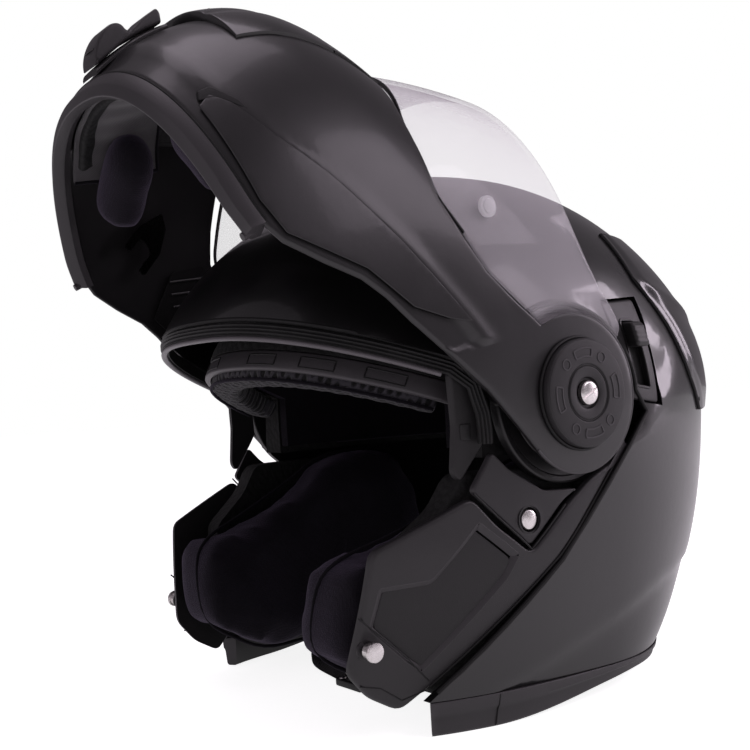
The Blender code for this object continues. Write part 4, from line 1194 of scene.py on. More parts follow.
def quilted_dome(outer, inner, low_z, around=120, levels=22):
    """The comfort liner: padded fields between stitched channels that run over the crown."""
    bm = bmesh.new()
    rims = []
    for inset, inside in ((outer, False), (inner, True)):
        heights = [low_z + (SHELL_CENTRE[1] - low_z) * index / 8 for index in range(8)]
        top = SHELL_CROWN - inset
        heights += [SHELL_CENTRE[1] + top * math.sin(math.radians(90 * i / levels)) for i in range(levels)]
        rows = []
        for z in heights:
            row = []
            for step in range(around):
                angle = 2 * math.pi * step / around
                field = abs(math.sin(angle * 4)) ** 0.4 * abs(math.cos((z - 121) / 30)) ** 0.4
                depth = inset - (1.8 * (1 - field) if inside else 0.0)
                row.append(bm.verts.new((*ring_point(shell_section(z, depth), angle, FRONT_POWER,
                    REAR_POWER), z)))
            rows.append(row)
        tip = bm.verts.new((0, SHELL_CENTRE[0], SHELL_CENTRE[1] + top))
        for low, high in zip(rows, rows[1:]):
            for step in range(around):
                after = (step + 1) % around
                bm.faces.new([low[step], low[after], high[after], high[step]])
        for step in range(around):
            bm.faces.new([rows[-1][step], rows[-1][(step + 1) % around], tip])
        rims.append(rows[0])
    for step in range(around):
        after = (step + 1) % around
        bm.faces.new([rims[0][after], rims[0][step], rims[1][step], rims[1][after]])
    return bm


def inflate(name, bm, look, body, nodes, closed=False, size=0.005, pressure=4.0, cap=0.006):
    """A stuffed form: the plain pad is remeshed, blown up as cloth within its cap, and smoothed."""
    obj = link(name, bm, look, body, (), closed, 80, False)
    remesh = obj.modifiers.new("even", "REMESH")
    remesh.mode = "VOXEL"
    remesh.voxel_size = size
    settle(obj)
    flat = [vert.co.copy() for vert in obj.data.vertices]
    cloth = obj.modifiers.new("stuffed", "CLOTH")
    cloth.settings.quality = 5
    cloth.settings.mass = 0.2
    cloth.settings.tension_stiffness = 12
    cloth.settings.compression_stiffness = 12
    cloth.settings.shear_stiffness = 5
    cloth.settings.bending_stiffness = 1.5
    cloth.settings.use_pressure = True
    cloth.settings.uniform_pressure_force = pressure
    cloth.settings.effector_weights.gravity = 0
    cloth.point_cache.frame_start = 1
    cloth.point_cache.frame_end = 20
    for number in range(1, 21):
        bpy.context.scene.frame_set(number)
    settle(obj)
    bpy.context.scene.frame_set(1)
    for vert, start in zip(obj.data.vertices, flat):
        move = vert.co - start
        if move.length > cap:
            vert.co = start + move * (cap / move.length)
    smoothing = obj.modifiers.new("soft", "SMOOTH")
    smoothing.iterations = 4
    smoothing.factor = 0.5
    finer = obj.modifiers.new("finer", "SUBSURF")
    finer.levels = 1
    finer.render_levels = 1
    settle(obj)
    obj.data.shade_smooth()
    belong(obj, body, nodes)
    return obj


def settle(obj):
    """Applies an object's modifiers."""
    graph = bpy.context.evaluated_depsgraph_get()
    mesh = bpy.data.meshes.new_from_object(obj.evaluated_get(graph))
    old = obj.data
    obj.modifiers.clear()
    obj.data = mesh
    bpy.data.meshes.remove(old)


def make_cheek_pads():
    outline = [(-109, 34), (-108, 68), (-97, 79), (-74, 86), (-40, 100), (-10, 116), (36, 116), (58, 84),
        (50, 30),
               (30, 12), (-70, 12)]
    for side, letter in ((1, "l"), (-1, "r")):
        pad = draped(shrunk(outline, 1.0), jaw_x, 26.0, 50.0, side, 4.0, 3.0, 12.0, cheek_relief)
        inflate("cheek_pad_" + letter, pad, KNIT, "helmet", ("cheek_pad_" + letter,), cap=0.006)
        line = rounded(shrunk(outline, 1.6), 14.0, 2.5)
        route = [(side * jaw_x(y, z, 33.5), y, z) for y, z in line]
        ups = [(side, 0, 0)] * len(route)
        round_profile = [(0.9 * math.cos(math.pi * i / 5),
            0.9 * math.sin(math.pi * i / 5)) for i in range(10)]
        link("cheek_piping_" + letter, sweep(route, round_profile, ups, True), PIPING, "helmet",
             ("cheek_pad_" + letter,))
        backing = draped([(-84, 34), (-83, 80), (-62, 96), (-52, 111), (50, 111), (60, 60), (50, 16), (-60,
            12)],
                         jaw_x, 11.5, 24.0, side, 5.0, 1.5, 5.0)
        link("cheek_liner_" + letter, backing, FOAM, "helmet", ("cheek_liner_" + letter,))


def cheek_relief(y, z):
    """A fold between the pad's front roll and its main field."""
    fold = 2.5 * math.exp(-(((y + 62 - 0.35 * (z - 60)) / 6.0) ** 2))
    return fold - 14.0 * smooth((-90.0 - y) / 5.0)


def make_neck_roll():
    loops = []
    for step in range(81):
        angle = math.radians(118 + 124 * step / 80)
        taper = min(1.0, math.sqrt(max(0.02, 1 - abs(step / 40 - 1) ** 6)))
        loop = []
        for index in range(24):
            turn = 2 * math.pi * index / 24
            z = 22 + 17.0 * taper * math.copysign(abs(math.sin(turn)) ** 0.8, math.sin(turn))
            inset = 21.2 + (7.6 - 0.06 * abs(z - 18)) * taper * math.cos(turn)
            x, y = ring_point(shell_section(max(z, TRIM_TOP), inset), angle, FRONT_POWER, REAR_POWER)
            loop.append((x, y, z))
        loops.append(loop)
    inflate("neck_roll", loft(loops), KNIT, "helmet", ("neck_roll",), cap=0.005)
    line = []
    for step in range(91):
        angle = math.radians(120 + 120 * step / 90)
        line.append((*ring_point(shell_section(TRIM_TOP, 18.0), angle, FRONT_POWER, REAR_POWER), 4.6))
    ups = [(0, 0, -1)] * len(line)
    link("neck_piping", tube(line, (1.1, 1.1), 10, ups), PIPING, "helmet", ("neck_roll",))


def bent(points, count):
    """A smooth run of count points through the given ones."""
    points = [Vector(point) for point in points]
    points = [2 * points[0] - points[1]] + points + [2 * points[-1] - points[-2]]
    run = []
    spans = len(points) - 3
    for index in range(count):
        at = spans * index / (count - 1)
        span = min(spans - 1, int(at))
        t = at - span
        a, b, c, d = points[span:span + 4]
        curve = (2 * a - 5 * b + 4 * c - d) * t**2 + (3 * b - a - 3 * c + d) * t**3
        run.append(0.5 * ((2 * b) + (c - a) * t + curve))
    return run


def webbing(route, width, thick, ups):
    """Flat strap with rolled edges."""
    profile = []
    for index in range(24):
        turn = 2 * math.pi * index / 24
        across = math.copysign(abs(math.cos(turn)) ** 0.35, math.cos(turn))
        profile.append((width * across, thick * math.sin(turn) * (1.25 if abs(across) > 0.93 else 1.0)))
    return sweep(route, profile, ups)


def make_straps():
    for side, letter in ((1, "l"), (-1, "r")):
        sleeve = [(59, -18, 70), (55, -24, 52), (49, -30, 34), (41, -36, 18)]
        route = [(side * x, y, z) for x, y, z in bent(sleeve, 20)]
        wide = [(2.7, 11.0 + 1.0 * math.sin(math.pi * i / 19)) for i in range(20)]
        bm = tube(route, wide, 16, [(0, 1, 0.3)] * 20)
        inflate("strap_pad_" + letter, bm, KNIT, "helmet", ("strap_pad_" + letter,), size=0.0028,
            cap=0.0012)
        left = [(40, -37, 14.5), (36, -40, 8.5), (28, -43, 4.6), (18.5, -45, 3.0)]
        if side < 0:
            left[-1] = (8, -45, 3.0)
        route = [(side * x, y, z) for x, y, z in bent(left, 26)]
        ups = [(0.2 * side, 0.1, 1)] * len(route)
        link("strap_" + letter, webbing(route, 10.6, 0.85, ups), WEB, "helmet",
            ("strap_" + letter,))
        stitches = []
        for line in (-8.2, 8.2):
            for index in range(3, 23, 2):
                here, after = Vector(route[index]), Vector(route[index + 1])
                lift = Vector((0, line, 0.75))
                stitches.append(tube([here + lift, after + lift], (0.28, 0.18), 6, [(0, 0, 1)] * 2))
        link("strap_stitches_" + letter, joined(*stitches), PIPING, "helmet", ("strap_" + letter,
            ))
    make_buckle()


def make_buckle():
    body = carve(rounded_box((21.6, 25.6, 4.0), 1.3, (5, -45, 3.1)), rounded_box((17, 17.4, 3), 0.5,
        (7.5, -45, 5.6)))
    link("buckle", body, BLACK, "helmet", ("buckle",), sharp=38)
    rivets = [turned([(-1.2, 0), (-1.2, 1.6), (-0.4, 2.2), (0.3, 1.7), (0.5, 0)], (0, 0, 0),
        24) for _ in range(2)]
    for rivet, y in zip(rivets, (-55.2, -34.8)):
        bmesh.ops.transform(rivet, matrix=Matrix.Rotation(-math.pi / 2, 4, "Y"), verts=rivet.verts)
        shift(rivet, (-2.5, y, 5.2))
    link("buckle_rivets", joined(*rivets), STEEL, "helmet", ("buckle",))
    lever = rounded_box((17.6, 15.6, 2.3), 0.9, (5, -45, 7.0))
    grooves = [rounded_box((0.8, 11, 1), 0.2, (8.6 + 1.7 * i, -45, 8.3)) for i in range(3)]
    link("buckle_lever", carve(lever, *grooves), STEEL, "buckle_lever", ("buckle_lever",),
        sharp=38)


# ---- chin bar, drawn closed -------------------------------------------------------------------------
HIGH_EDGE = [(-30, 129), (-60, 104), (-94, 90), (-130, 92), (-160, 101), (-180, 108)]
LOW_EDGE = [(-30, 88), (-45, 61), (-66, 44), (-84, 14), (-100, 8), (-172, -9), (-205, -14)]
def chin_high(y):
    return eased(HIGH_EDGE, y)


def chin_low(y):
    return eased(LOW_EDGE, y, 3.0)


def edge_at(angle, edge, section=chin_section, inset=0.0):
    """(y, z) where the ring angle meets a side-view edge."""
    z = 40.0
    for _ in range(8):
        x, y = ring_point(section(z, inset), angle, CHIN_POWER, CHIN_POWER)
        z = edge(y)
    return y, z


def along(points, share):
    """A point at a share of a polyline's length."""
    lengths = [math.dist(a, b) for a, b in zip(points, points[1:])]
    goal = share * sum(lengths)
    for (a, b), length in zip(zip(points, points[1:]), lengths):
        if goal <= length:
            return tuple(Vector(a).lerp(Vector(b), goal / length))
        goal -= length
    return points[-1]


def stations(fields, section, high, low):
    """(angle, z) of both edges at each station, from the rear of the lobe to the centre line."""
    result = []
    for (upper, lower), count in fields:
        for index in range(count):
            pairs = []
            for points in (upper, lower):
                y, z = along(points, index / count)
                pairs.append((chin_angle(y, z, section), z))
            result.append(pairs)
    start_high = chin_angle(*fields[-1][0][0][-1], section)
    start_low = chin_angle(*fields[-1][0][1][-1], section)
    count = 60
    for index in range(count + 1):
        share = 1 - index / count
        pairs = []
        for start, edge in ((start_high, high), (start_low, low)):
            angle = max(start * share, 1e-4)
            pairs.append((angle, edge_at(angle, edge, section)[1]))
        result.append(pairs)
    return result


def wrapped(run, section, outer, inner, rows, radius, relief=None, step_in=None):
    """A plate through stations on the left, over the centre line and back along the right."""
    loops = []
    for side, part in ((1, run), (-1, run[-2::-1])):
        for (high_angle, high_z), (low_angle, low_z) in part:
            length = max(3.0, math.hypot(high_z - low_z, 110 * (high_angle - low_angle)))

            def point(t, inset, outside):
                angle = low_angle + (high_angle - low_angle) * t
                z = low_z + (high_z - low_z) * t
                x, y = ring_point(section(z, inset), angle, CHIN_POWER, CHIN_POWER)
                more = (relief(y, z) if relief and outside else 0.0) + (step_in(y, z) if step_in else 0.0)
                if more:
                    x, y = ring_point(section(z, inset + more), angle, CHIN_POWER, CHIN_POWER)
                return (side * x, y, z)

            loops.append(strip_loop(point, length, outer, inner, rows, radius))
    return loft(loops)


def chin_relief(y, z):
    """A soft fold under the painted flank, and a shallow flare above it."""
    if z > 112 or y > -30:
        return 0.0
    fold = eased(FLANK, y) - z
    return -0.9 * math.exp(-((fold / 5.0) ** 2)) + 0.8 * smooth(fold / 10.0)


FLANK = [(-20, 101), (-36, 92), (-78, 64.5), (-108, 42.5), (-128, 25), (-143, 15), (-160, 8), (-200, 2)]


def make_chin_shell():
    lobe = (0, HINGE_Z)
    slope = [(22.2, 114.6), (-10, 92), (-28, 76)]
    fields = [
        ((arc(lobe, LOBE_RADIUS, 1.5, 52, 24), arc(lobe, LOBE_RADIUS, -1.5, -52, 24)), 16),
        ((arc(lobe, LOBE_RADIUS, 52, 90, 24), [slope[0], (-2, 97.6)]), 10),
        ((arc(lobe, LOBE_RADIUS, 90, 180, 40), [(-2, 97.6), slope[1], (-20, 83.1)]), 18),
        ((arc(lobe, LOBE_RADIUS, 180, 205, 12), [(-20, 83.1), (-27, 77)]), 6),
        (([(-32.6, 127.8), (-45, 116.6), (-60, 104.6)], [(-27, 77), (-36, 69), (-45, 61)]), 14),
        (([(-60, 104.6), (-76, 97.6), (-94, 91.2)], [(-45, 61), (-56, 52.5), (-65, 43.5)]), 14),
        (([(-94, 91.2), (-112, 91.2)], [(-65, 43.5), (-74, 29), (-84, 15.2)]), 14),
        (([(-112, 91.2), (-130, 92.6)], [(-84, 15.2), (-91, 10.2), (-100, 7.7)]), 8),
    ]
    run = stations(fields, chin_section, chin_high, chin_low)
    shell = wrapped(run, chin_section, 0.0, 3.6, 30, 1.5, chin_relief)
    link("chin_bar_shell", shell, CHIN_PAINT, "chin_bar", ("chin_bar_shell",), True, 40)

    def lobe_bead():
        line = arc(lobe, LOBE_RADIUS - 0.5, 214, -56, 110)
        route = [(chin_x(y, z, 0.55), y, z) for y, z in line]
        return tube(route, (0.75, 0.55), 10, [(1, 0, 0)] * len(route))

    def upper_bead():
        line = [(y, follow(HIGH_EDGE, y) - 0.2) for y in range(-34, -128, -3)]
        route = [(chin_x(y, z, 0.8), y, z) for y, z in line]
        return tube(route, (0.5, 0.6), 8, [(1, 0, 0)] * len(route))

    pair("chin_lobe_rim", lobe_bead, TRIM, "chin_bar", None, True)
    pair("chin_upper_rim", upper_bead, SEAM, "chin_bar", None, True)


def make_side_panels():
    outline = [(-148, 8), (-143, 14.6), (-128, 24.6), (-108, 42), (-78, 64), (-40, 89.5), (-43, 78), (-50,
        62.5),
               (-68, 46), (-86.5, 16.5), (-101, 10), (-143, 2.5)]

    def panel_form():
        return draped(outline, chin_x, -0.9, -0.35, 1, 3.2, 0.3, 0.8)

    # painted shade: the air inlet at the panel's front end is a black sheet laid on the surface
    def notch_shade():
        return draped([(-150, 5), (-151.5, 10), (-144, 17.5), (-139, 19.6), (-146, 10), (-145.5, 3.4)],
            chin_x,
                      -0.9, 0.4, 1, 3.0, 0.4, 1.0)

    pair("chin_side_panel", panel_form, CHIN_PAINT, "chin_bar", "chin_side_panel", True)
    pair("chin_side_notch", notch_shade, SEAM, "chin_bar", None, True)
    pair("chin_side_seam", crease_line, SEAM, "chin_bar", None, True)


def crease_line():
    line = [(-42, 88.6), (-78, 64.7), (-108, 42.7), (-128, 25.2), (-143, 15.2)]
    route = []
    for index in range(60):
        y, z = along(line, index / 59)
        route.append((chin_x(y, z, 0.15), y, z))
    return tube(route, (0.4, 0.6), 8, [(1, 0, 0)] * len(route))


TRIM_PROFILE = [(0.5, 0.9), (1.0, 0.75), (6.6, 0.95), (7.3, 1.3), (9.2, 4.2), (9.5, 4.8), (9.3, 5.6), (5.6,
    9.9), (4.8, 10.4),
                (0.9, 10.4), (0.5, 9.9)]


def make_chin_trim():
    loops = []
    for step in range(-110, 111):
        angle = math.radians(63.5 * step / 110)
        loop = []
        for drop, inset in TRIM_PROFILE:
            y, z = edge_at(angle, lambda y: chin_low(y) - drop, chin_section, inset)
            x, y = ring_point(chin_section(z, inset), angle, CHIN_POWER, CHIN_POWER)
            loop.append((x, y, z))
        loops.append(loop)
    link("chin_edge_trim", loft(loops), TRIM, "chin_bar", ("chin_edge_trim",), True, 24)
    seam = []
    for step in range(-110, 111):
        angle = math.radians(63.3 * step / 110)
        y, z = edge_at(angle, lambda y: chin_low(y) - 0.15, chin_section, 1.0)
        x, y = ring_point(chin_section(z, 1.1), angle, CHIN_POWER, CHIN_POWER)
        seam.append((x, y, z))
    ups = [(x, y, 0) for x, y, z in seam]
    link("chin_trim_seam", tube(seam, (0.45, 0.7), 8, ups), SEAM, "chin_bar",
        ("chin_edge_trim",), True)

    def peg():
        y, z = -90, follow(LOW_EDGE, -90) - 7
        x = chin_x(y, z, 6.0)
        return joined(tube([(x, y, z + 4), (x, y + 2, z - 1.4), (x, y + 2.4, z - 2.4)], (1.8, 1.5), 12,
            [(1, 0, 0)] * 3))

    pair("chin_trim_peg", peg, TRIM, "chin_bar", None, True)


def make_chin_lining():
    loops = []
    for step in range(-50, 51):
        angle = math.radians(33 * step / 50)

        def point(t, inset, outside):
            y, z = edge_at(angle, lambda y: chin_low(y) + 3 + t * (chin_high(y) - chin_low(y) - 13),
                chin_section, inset)
            return (*ring_point(chin_section(z, inset), angle, CHIN_POWER, CHIN_POWER), z)

        loops.append(strip_loop(point, 70, 5.4, 17.0, 16, 2.5))
    link("chin_liner", loft(loops), FOAM, "chin_bar", ("chin_liner",), True, 60)
    make_curtain()

    def pad():
        route, sizes = [], []
        for step in range(25):
            share = step / 24
            y = -116 - 32 * share
            z = chin_low(y) + 15.0 + 8.0 * share
            route.append((chin_x(y, z, 29.0 + 9.0 * share), y, z))
            swell = math.sin(math.pi * min(1.0, max(0.0,
                0.5 * (share / 0.22) if share < 0.22 else 0.5))) if share < 0.5 \
                else math.sin(math.pi * (0.5 if share < 0.78 else 0.5 * (1 - share) / 0.22))
            swell = 0.25 + 0.75 * math.sqrt(max(0.0, swell))
            sizes.append((15.5 * swell, 11.6 * swell))
        return tube(route, sizes, 20)

    for side, letter in ((1, "l"), (-1, "r")):
        bm = pad() if side > 0 else flipped(pad())
        inflate("chin_pad_" + letter, bm, KNIT, "chin_bar", ("chin_pad_" + letter,), True, 0.004, 4.0,
            0.003)


CURTAIN_SPAN = 38.0


def curtain_point(angle, t, more=0.0):
    """The curtain starts at the edge trim, swells inwards and runs up to the liner."""
    swell = 10.5 + 12.0 * math.sin(0.5 * math.pi * min(1.0, t / 0.7)) - 2.0 * max(0.0, t - 0.7)
    ripple = 0.35 * math.sin(angle * 46) * math.sin(math.pi * t) + 0.3 * math.sin(angle * 21 + 5 * t)
    inset = swell + more + ripple
    y, z = edge_at(angle, lambda y: chin_low(y) + 1.2 + 46 * t, chin_section, inset)
    return (*ring_point(chin_section(z, inset), angle, CHIN_POWER, CHIN_POWER), z)


def make_curtain():
    columns, rows = 120, 30
    loops, middle, across = [], [], []
    for step in range(columns + 1):
        angle = math.radians(CURTAIN_SPAN * (2 * step / columns - 1))
        front = [curtain_point(angle, row / rows) for row in range(rows + 1)]
        back = [curtain_point(angle, row / rows, 1.4) for row in range(rows + 1)]
        loops.append(front + back[::-1])
        across.append(front[rows // 2])
        if step == columns // 2:
            middle = front
    height = sum(math.dist(a, b) for a, b in zip(middle, middle[1:])) * MM
    curtain = link("chin_curtain", loft(loops), CURTAIN, "chin_bar", ("chin_curtain",),
        True, 80)
    binding = []
    for angle in (-CURTAIN_SPAN, CURTAIN_SPAN):
        line = [curtain_point(math.radians(angle), row / rows, 1.3) for row in range(rows + 1)]
        binding.append(tube(line, (1.0, 1.0), 10, [(1, 0, 0.3)] * len(line)))
    line = [curtain_point(math.radians(CURTAIN_SPAN * (2 * step / columns - 1)), 1.0,
        0.8) for step in range(columns + 1)]
    binding.append(tube(line, (1.3, 1.0), 10, [(0, 0, 1)] * len(line)))
    bound = link("chin_curtain_binding", joined(*binding), PIPING, "chin_bar",
        ("chin_curtain",), True, 80)


def make_inner_arms():
    outline = [(-50, 104), (-62, 96), (-92, 84), (-90, 64), (-66, 50), (-50, 66)]

    def arm():
        return draped(outline, chin_x, 5.4, 6.3, 1, 4.0, 0.3, 2.0)

    def ribs():
        parts = []
        for index in range(5):
            y = -57 - 7 * index
            low, high = 64 - 0.5 * index, 92 - 1.6 * index
            line = [(chin_x(y, low + (high - low) * k / 8, 6.6), y,
                low + (high - low) * k / 8) for k in range(9)]
            parts.append(tube(line, (0.8, 0.6), 8, [(1, 0, 0)] * 9))
        return joined(*parts)

    pair("chin_inner_arm", arm, BLACK, "chin_bar", "chin_inner_arm", True)
    pair("chin_inner_ribs", ribs, BLACK, "chin_bar", None, True)


VENT_SPAN = 28.0


def vent_piece(low_z, high_z, lift, rows):
    loops = []
    for step in range(-40, 41):
        turn = VENT_SPAN * step / 40
        proud = 0.4 + lift * math.cos(0.5 * math.pi * turn / (VENT_SPAN * 1.08)) ** 0.7

        def point(t, inset, outside):
            z = low_z + (high_z - low_z) * t
            ridge = 0.7 * math.exp(-((abs(turn) - 15) / 1.5) ** 2) if outside else 0.0
            section = chin_section(z, inset - (proud - ridge if outside else 0.4))
            return (*ring_point(section, math.radians(turn), CHIN_POWER, CHIN_POWER), z)

        loops.append(strip_loop(point, high_z - low_z, 0.0, 1.2, rows, 0.9))
    return loft(loops)


def make_front_vent():
    link("chin_vent_cover", vent_piece(34, 81.4, 4.2, 24), VENT_PAINT, "chin_bar",
        ("chin_vent_cover",), True, 50)
    link("chin_vent_slider", vent_piece(82.0, 102.9, 3.9, 14), VENT_PAINT, "chin_vent_slider",
         ("chin_vent_slider",), True, 50)
    # painted shade: the slots are black bars laid on the vent cover where the openings are
    slots = []
    for z, half in ((46, 10), (51.5, 11), (57, 12)):
        line = []
        for step in range(-10, 11):
            angle = math.radians(half * 0.72 * step / 10)
            line.append((*ring_point(chin_section(z, -4.5), angle, CHIN_POWER, CHIN_POWER), z))
        ups = [(x, y, 0) for x, y, z in line]
        slots.append(tube(line, [(1.3 * math.sqrt(max(0.05, 1 - (s / 10.5) ** 4)), 0.35) for s in range(-10,
            11)], 12, ups))
    link("chin_vent_slots", joined(*slots), SEAM, "chin_bar", ("chin_vent_cover",), True)
    grips = []
    for index in range(5):
        z = 88 + 2.6 * index
        line = [(*ring_point(chin_section(z, -4.1), math.radians(0.45 * s), CHIN_POWER, CHIN_POWER),
            z) for s in range(-10, 11)]
        grips.append(tube(line, (0.55, 0.5), 8, [(x, y, 0) for x, y, _ in line]))
    link("chin_vent_grips", joined(*grips), SATIN, "chin_vent_slider", ("chin_vent_slider",),
        True)


def front_strip(low_z, high_z, half_angle, base, top, radius, rows=20):
    """A raised strip up the middle of the chin's front."""
    loops = []
    for step in range(-12, 13):
        angle = math.radians(half_angle * step / 12)
        fade = 1 - 0.5 * (abs(step) / 12) ** 6

        def point(t, inset, outside):
            z = low_z + (high_z - low_z) * t
            section = chin_section(z, inset - (top * fade if outside else base))
            return (*ring_point(section, angle, CHIN_POWER, CHIN_POWER), z)

        loops.append(strip_loop(point, high_z - low_z, 0.0, 0.2, rows, radius))
    return loft(loops)


def make_release_lever():
    """The lever's dark base, and the thumb tab and fin over it, up the middle of the chin's front."""
    link("lever_bar", front_strip(-9, 29, 3.2, 0.4, 2.9, 0.8), BLACK, "chin_bar",
        ("lever_bar",), True)
    turns = [math.radians(10 * step) for step in range(17)]
    tab = [(0.5 - 9 * math.cos(a), 5.4 + 9.5 * math.sin(a)) for a in turns]
    outline = [(-8.5, 3.6)] + tab + [(11, 6.4), (19, 9.4), (26, 11.0), (27.5, 8.4), (27.5, 3.6), (18, 3.6),
        (8, 3.6)]
    outline = [(-chin_section(z)[1] - reach, z) for z, reach in outline]
    bm = draped(outline, lambda y, z, inset: 7.0 - inset, 0.0, 14.0, 1, 2.0, 1.3, 1.2)
    link("release_lever", bm, SATIN, "release_lever", ("release_lever",), True, 40)
    grips = []
    for reach in (6.5, 8.3, 10.1):
        line = [(x, -chin_section(-6.6)[1] - reach, -7.6 + 0.12 * abs(x)) for x in range(-5, 6)]
        grips.append(tube(line, (0.4, 0.5), 8, [(0, 0, -1)] * len(line)))
    link("release_lever_grips", joined(*grips), BLACK, "release_lever", ("release_lever",),
        True)


def make_latch_hooks():
    y, z = LATCH_PIN
    mouth = 5.6

    def place(a, b):
        return (y + 0.707 * (a + b), z + 0.707 * (b - a))

    outline = [
        place(7, mouth), place(7, mouth + 4.5), place(-8, mouth + 4.5), place(-20, 4), place(-24, -4),
        place(-10, -mouth - 4.5), place(4, -mouth - 4.5), place(4, -mouth), place(-5, -mouth), place(-7, 0),
        place(-5, mouth),
    ]
    for side, letter in ((1, "l"), (-1, "r")):
        hook = draped(outline, jaw_x, -3.8, -1.6, side, 3.0, 0.5, 1.5)
        link("latch_hook_" + letter, hook, HOOK, "latch_hook_" + letter, ("latch_hook_" + letter,),
            True)


def make_pivots():
    face = CHIN_WIDTH + 0.65
    profile = [(0, 5.6), (0, 24.4), (2.4, 24.5), (3.2, 24.2), (3.7, 23.6), (3.95, 22.6), (4.0, 13.4), (3.7,
        12.9), (3.0, 12.7),
               (3.0, 12.0), (3.7, 11.8), (4.0, 11.3), (4.1, 8.4), (3.6, 7.2), (2.2, 6.6), (2.0, 5.6)]

    def cover():
        turns = [2 * math.pi * index / 96 for index in range(96)]
        rows = [[(x, r * math.cos(a), r * math.sin(a)) for a in turns] for x, r in profile]
        return shift(grid(rows, True, True), (face, 0, HINGE_Z))

    def ring(radius, size, look_x):
        turns = [2 * math.pi * index / 96 for index in range(96)]
        route = [(look_x, radius * math.cos(a), HINGE_Z + radius * math.sin(a)) for a in turns]
        circle = [(size * math.cos(math.pi * k / 4), size * math.sin(math.pi * k / 4)) for k in range(8)]
        return sweep(route, circle, [(1, 0, 0)] * 96, True)

    def grooves():
        return joined(ring(25.1, 0.75, face - 0.35), ring(12.35, 0.5, face + 3.2))

    def marks():
        parts = []
        for middle in (0, 90, 180, 270):
            outline = arc((0, HINGE_Z), 20.0, middle - 17, middle + 17, 14) + arc((0, HINGE_Z), 16.2,
                middle + 17, middle - 17, 14)
            parts.append(ring_band(outline, lambda y, z, inset: face + 4.0 - inset,
                                   [(-0.45, 0.2), (-0.3, -0.28), (0.3, -0.28), (0.45, 0.2)], 1, 1.2))
        for middle in (38, 142, 218, 322):
            y = 18.1 * math.cos(math.radians(middle))
            z = HINGE_Z + 18.1 * math.sin(math.radians(middle))
            outline = arc((y, z), 2.3, 0, 345, 24)
            parts.append(ring_band(outline, lambda y, z, inset: face + 4.0 - inset,
                                   [(-0.4, 0.2), (-0.25, -0.25), (0.25, -0.25), (0.4, 0.2)], 1, 0.3))
        return joined(*parts)

    def screw():
        bm = turned([(face, 0), (face, 3.0), (face + 2.4, 3.0), (face + 2.4, 5.2), (face + 4.4, 5.3),
            (face + 4.9, 4.9),
                     (face + 5.2, 4.2), (face + 5.3, 0)], (0, 0, HINGE_Z), 64)
        slot = rounded_box((1.6, 12, 0.9), 0.1, (face + 5.3, 0, HINGE_Z), Matrix.Rotation(math.radians(-70),
            4, "X"))
        return carve(bm, slot)

    pair("pivot_cover", cover, DISC, "chin_bar", "pivot_cover", True, 25)
    pair("pivot_grooves", grooves, SEAM, "chin_bar", None, True)
    pair("pivot_marks", marks, TRIM, "chin_bar", None, True)
    pair("pivot_screw", screw, STEEL, "chin_bar", "pivot_screw", True, 30)


# ---- visor ------------------------------------------------------------------------------------------
VISOR_LOW = [(-30, 132), (-60, 107), (-94, 92.5), (-130, 95.5), (-160, 112.5), (-180, 117.5)]
VISOR_HIGH = [(-44, 170), (-58, 167), (-71, 165.5), (-160, 165.5)]


def visor_low(y):
    return eased(VISOR_LOW, y, 5.0)


def visor_high(y):
    return eased(VISOR_HIGH, y, 5.0)


def visor_step(y, z):
    """The visor tucks in behind the chin bar's lobe near the pivot."""
    return 4.3 * (1 - smooth((math.hypot(y, z - HINGE_Z) - 36.5) / 6.0))


def make_visor():
    centre = (0, HINGE_Z)
    fields = [
        ((arc(centre, 31, 2, 60, 20), arc(centre, 31, -2, -90, 20)), 14),
        (([(15.5, 169.8), (-5, 174.6), (-27, 178)], arc(centre, 31, -90, -175, 20)), 14),
        (([(-27, 178), (-36, 175), (-44, 170.6)], [(-30.9, 140.3), (-34, 132), (-37, 126.5)]), 10),
        (([(-44, 170.6), (-58, 167.1), (-71, 165.6)], [(-37, 126.5), (-60, 107.3), (-68, 103.4)]), 12),
        (([(-71, 165.6), (-84, 165.5)], [(-68, 103.4), (-94, 93.2)]), 10),
    ]
    run = stations(fields, visor_section, visor_high, visor_low)
    visor = wrapped(run, visor_section, 0.0, 2.2, 26, 0.7, None, visor_step)
    link("visor", visor, CLEAR, "visor", ("visor",), True, 60)
    edge = []
    for step in range(-100, 101):
        angle = math.radians(66 * step / 100)
        y, z = edge_at(angle, visor_low, visor_section, 1.1)
        edge.append((*ring_point(visor_section(z, 1.1), angle, CHIN_POWER, CHIN_POWER), z + 0.4))
    ups = [(x, y, 0) for x, y, z in edge]
    link("visor_edge", tube(edge, (0.8, 1.25), 10, ups), EDGE, "visor", ("visor",),
        True)

    def pin():
        x = visor_x(-88, 115) + 1.9
        return turned([(x, 0), (x, 4.8), (x + 1.2, 4.8), (x + 1.6, 4.4), (x + 1.7, 3.4), (x + 2.2, 3.1),
            (x + 2.4, 2.6), (x + 2.4, 0)],
                      (0, -88, 115), 40)

    pair("lens_pin", pin, PIN, "visor", "lens_pin", True)


EDGE = satin("visor_edge_seal", 0.004, 0.25)
HOOK = steel("oiled_steel", 0.02)
PIN = clear("pin_clear", (0.85, 0.84, 0.86), 0.35, 0.9, 0.08)


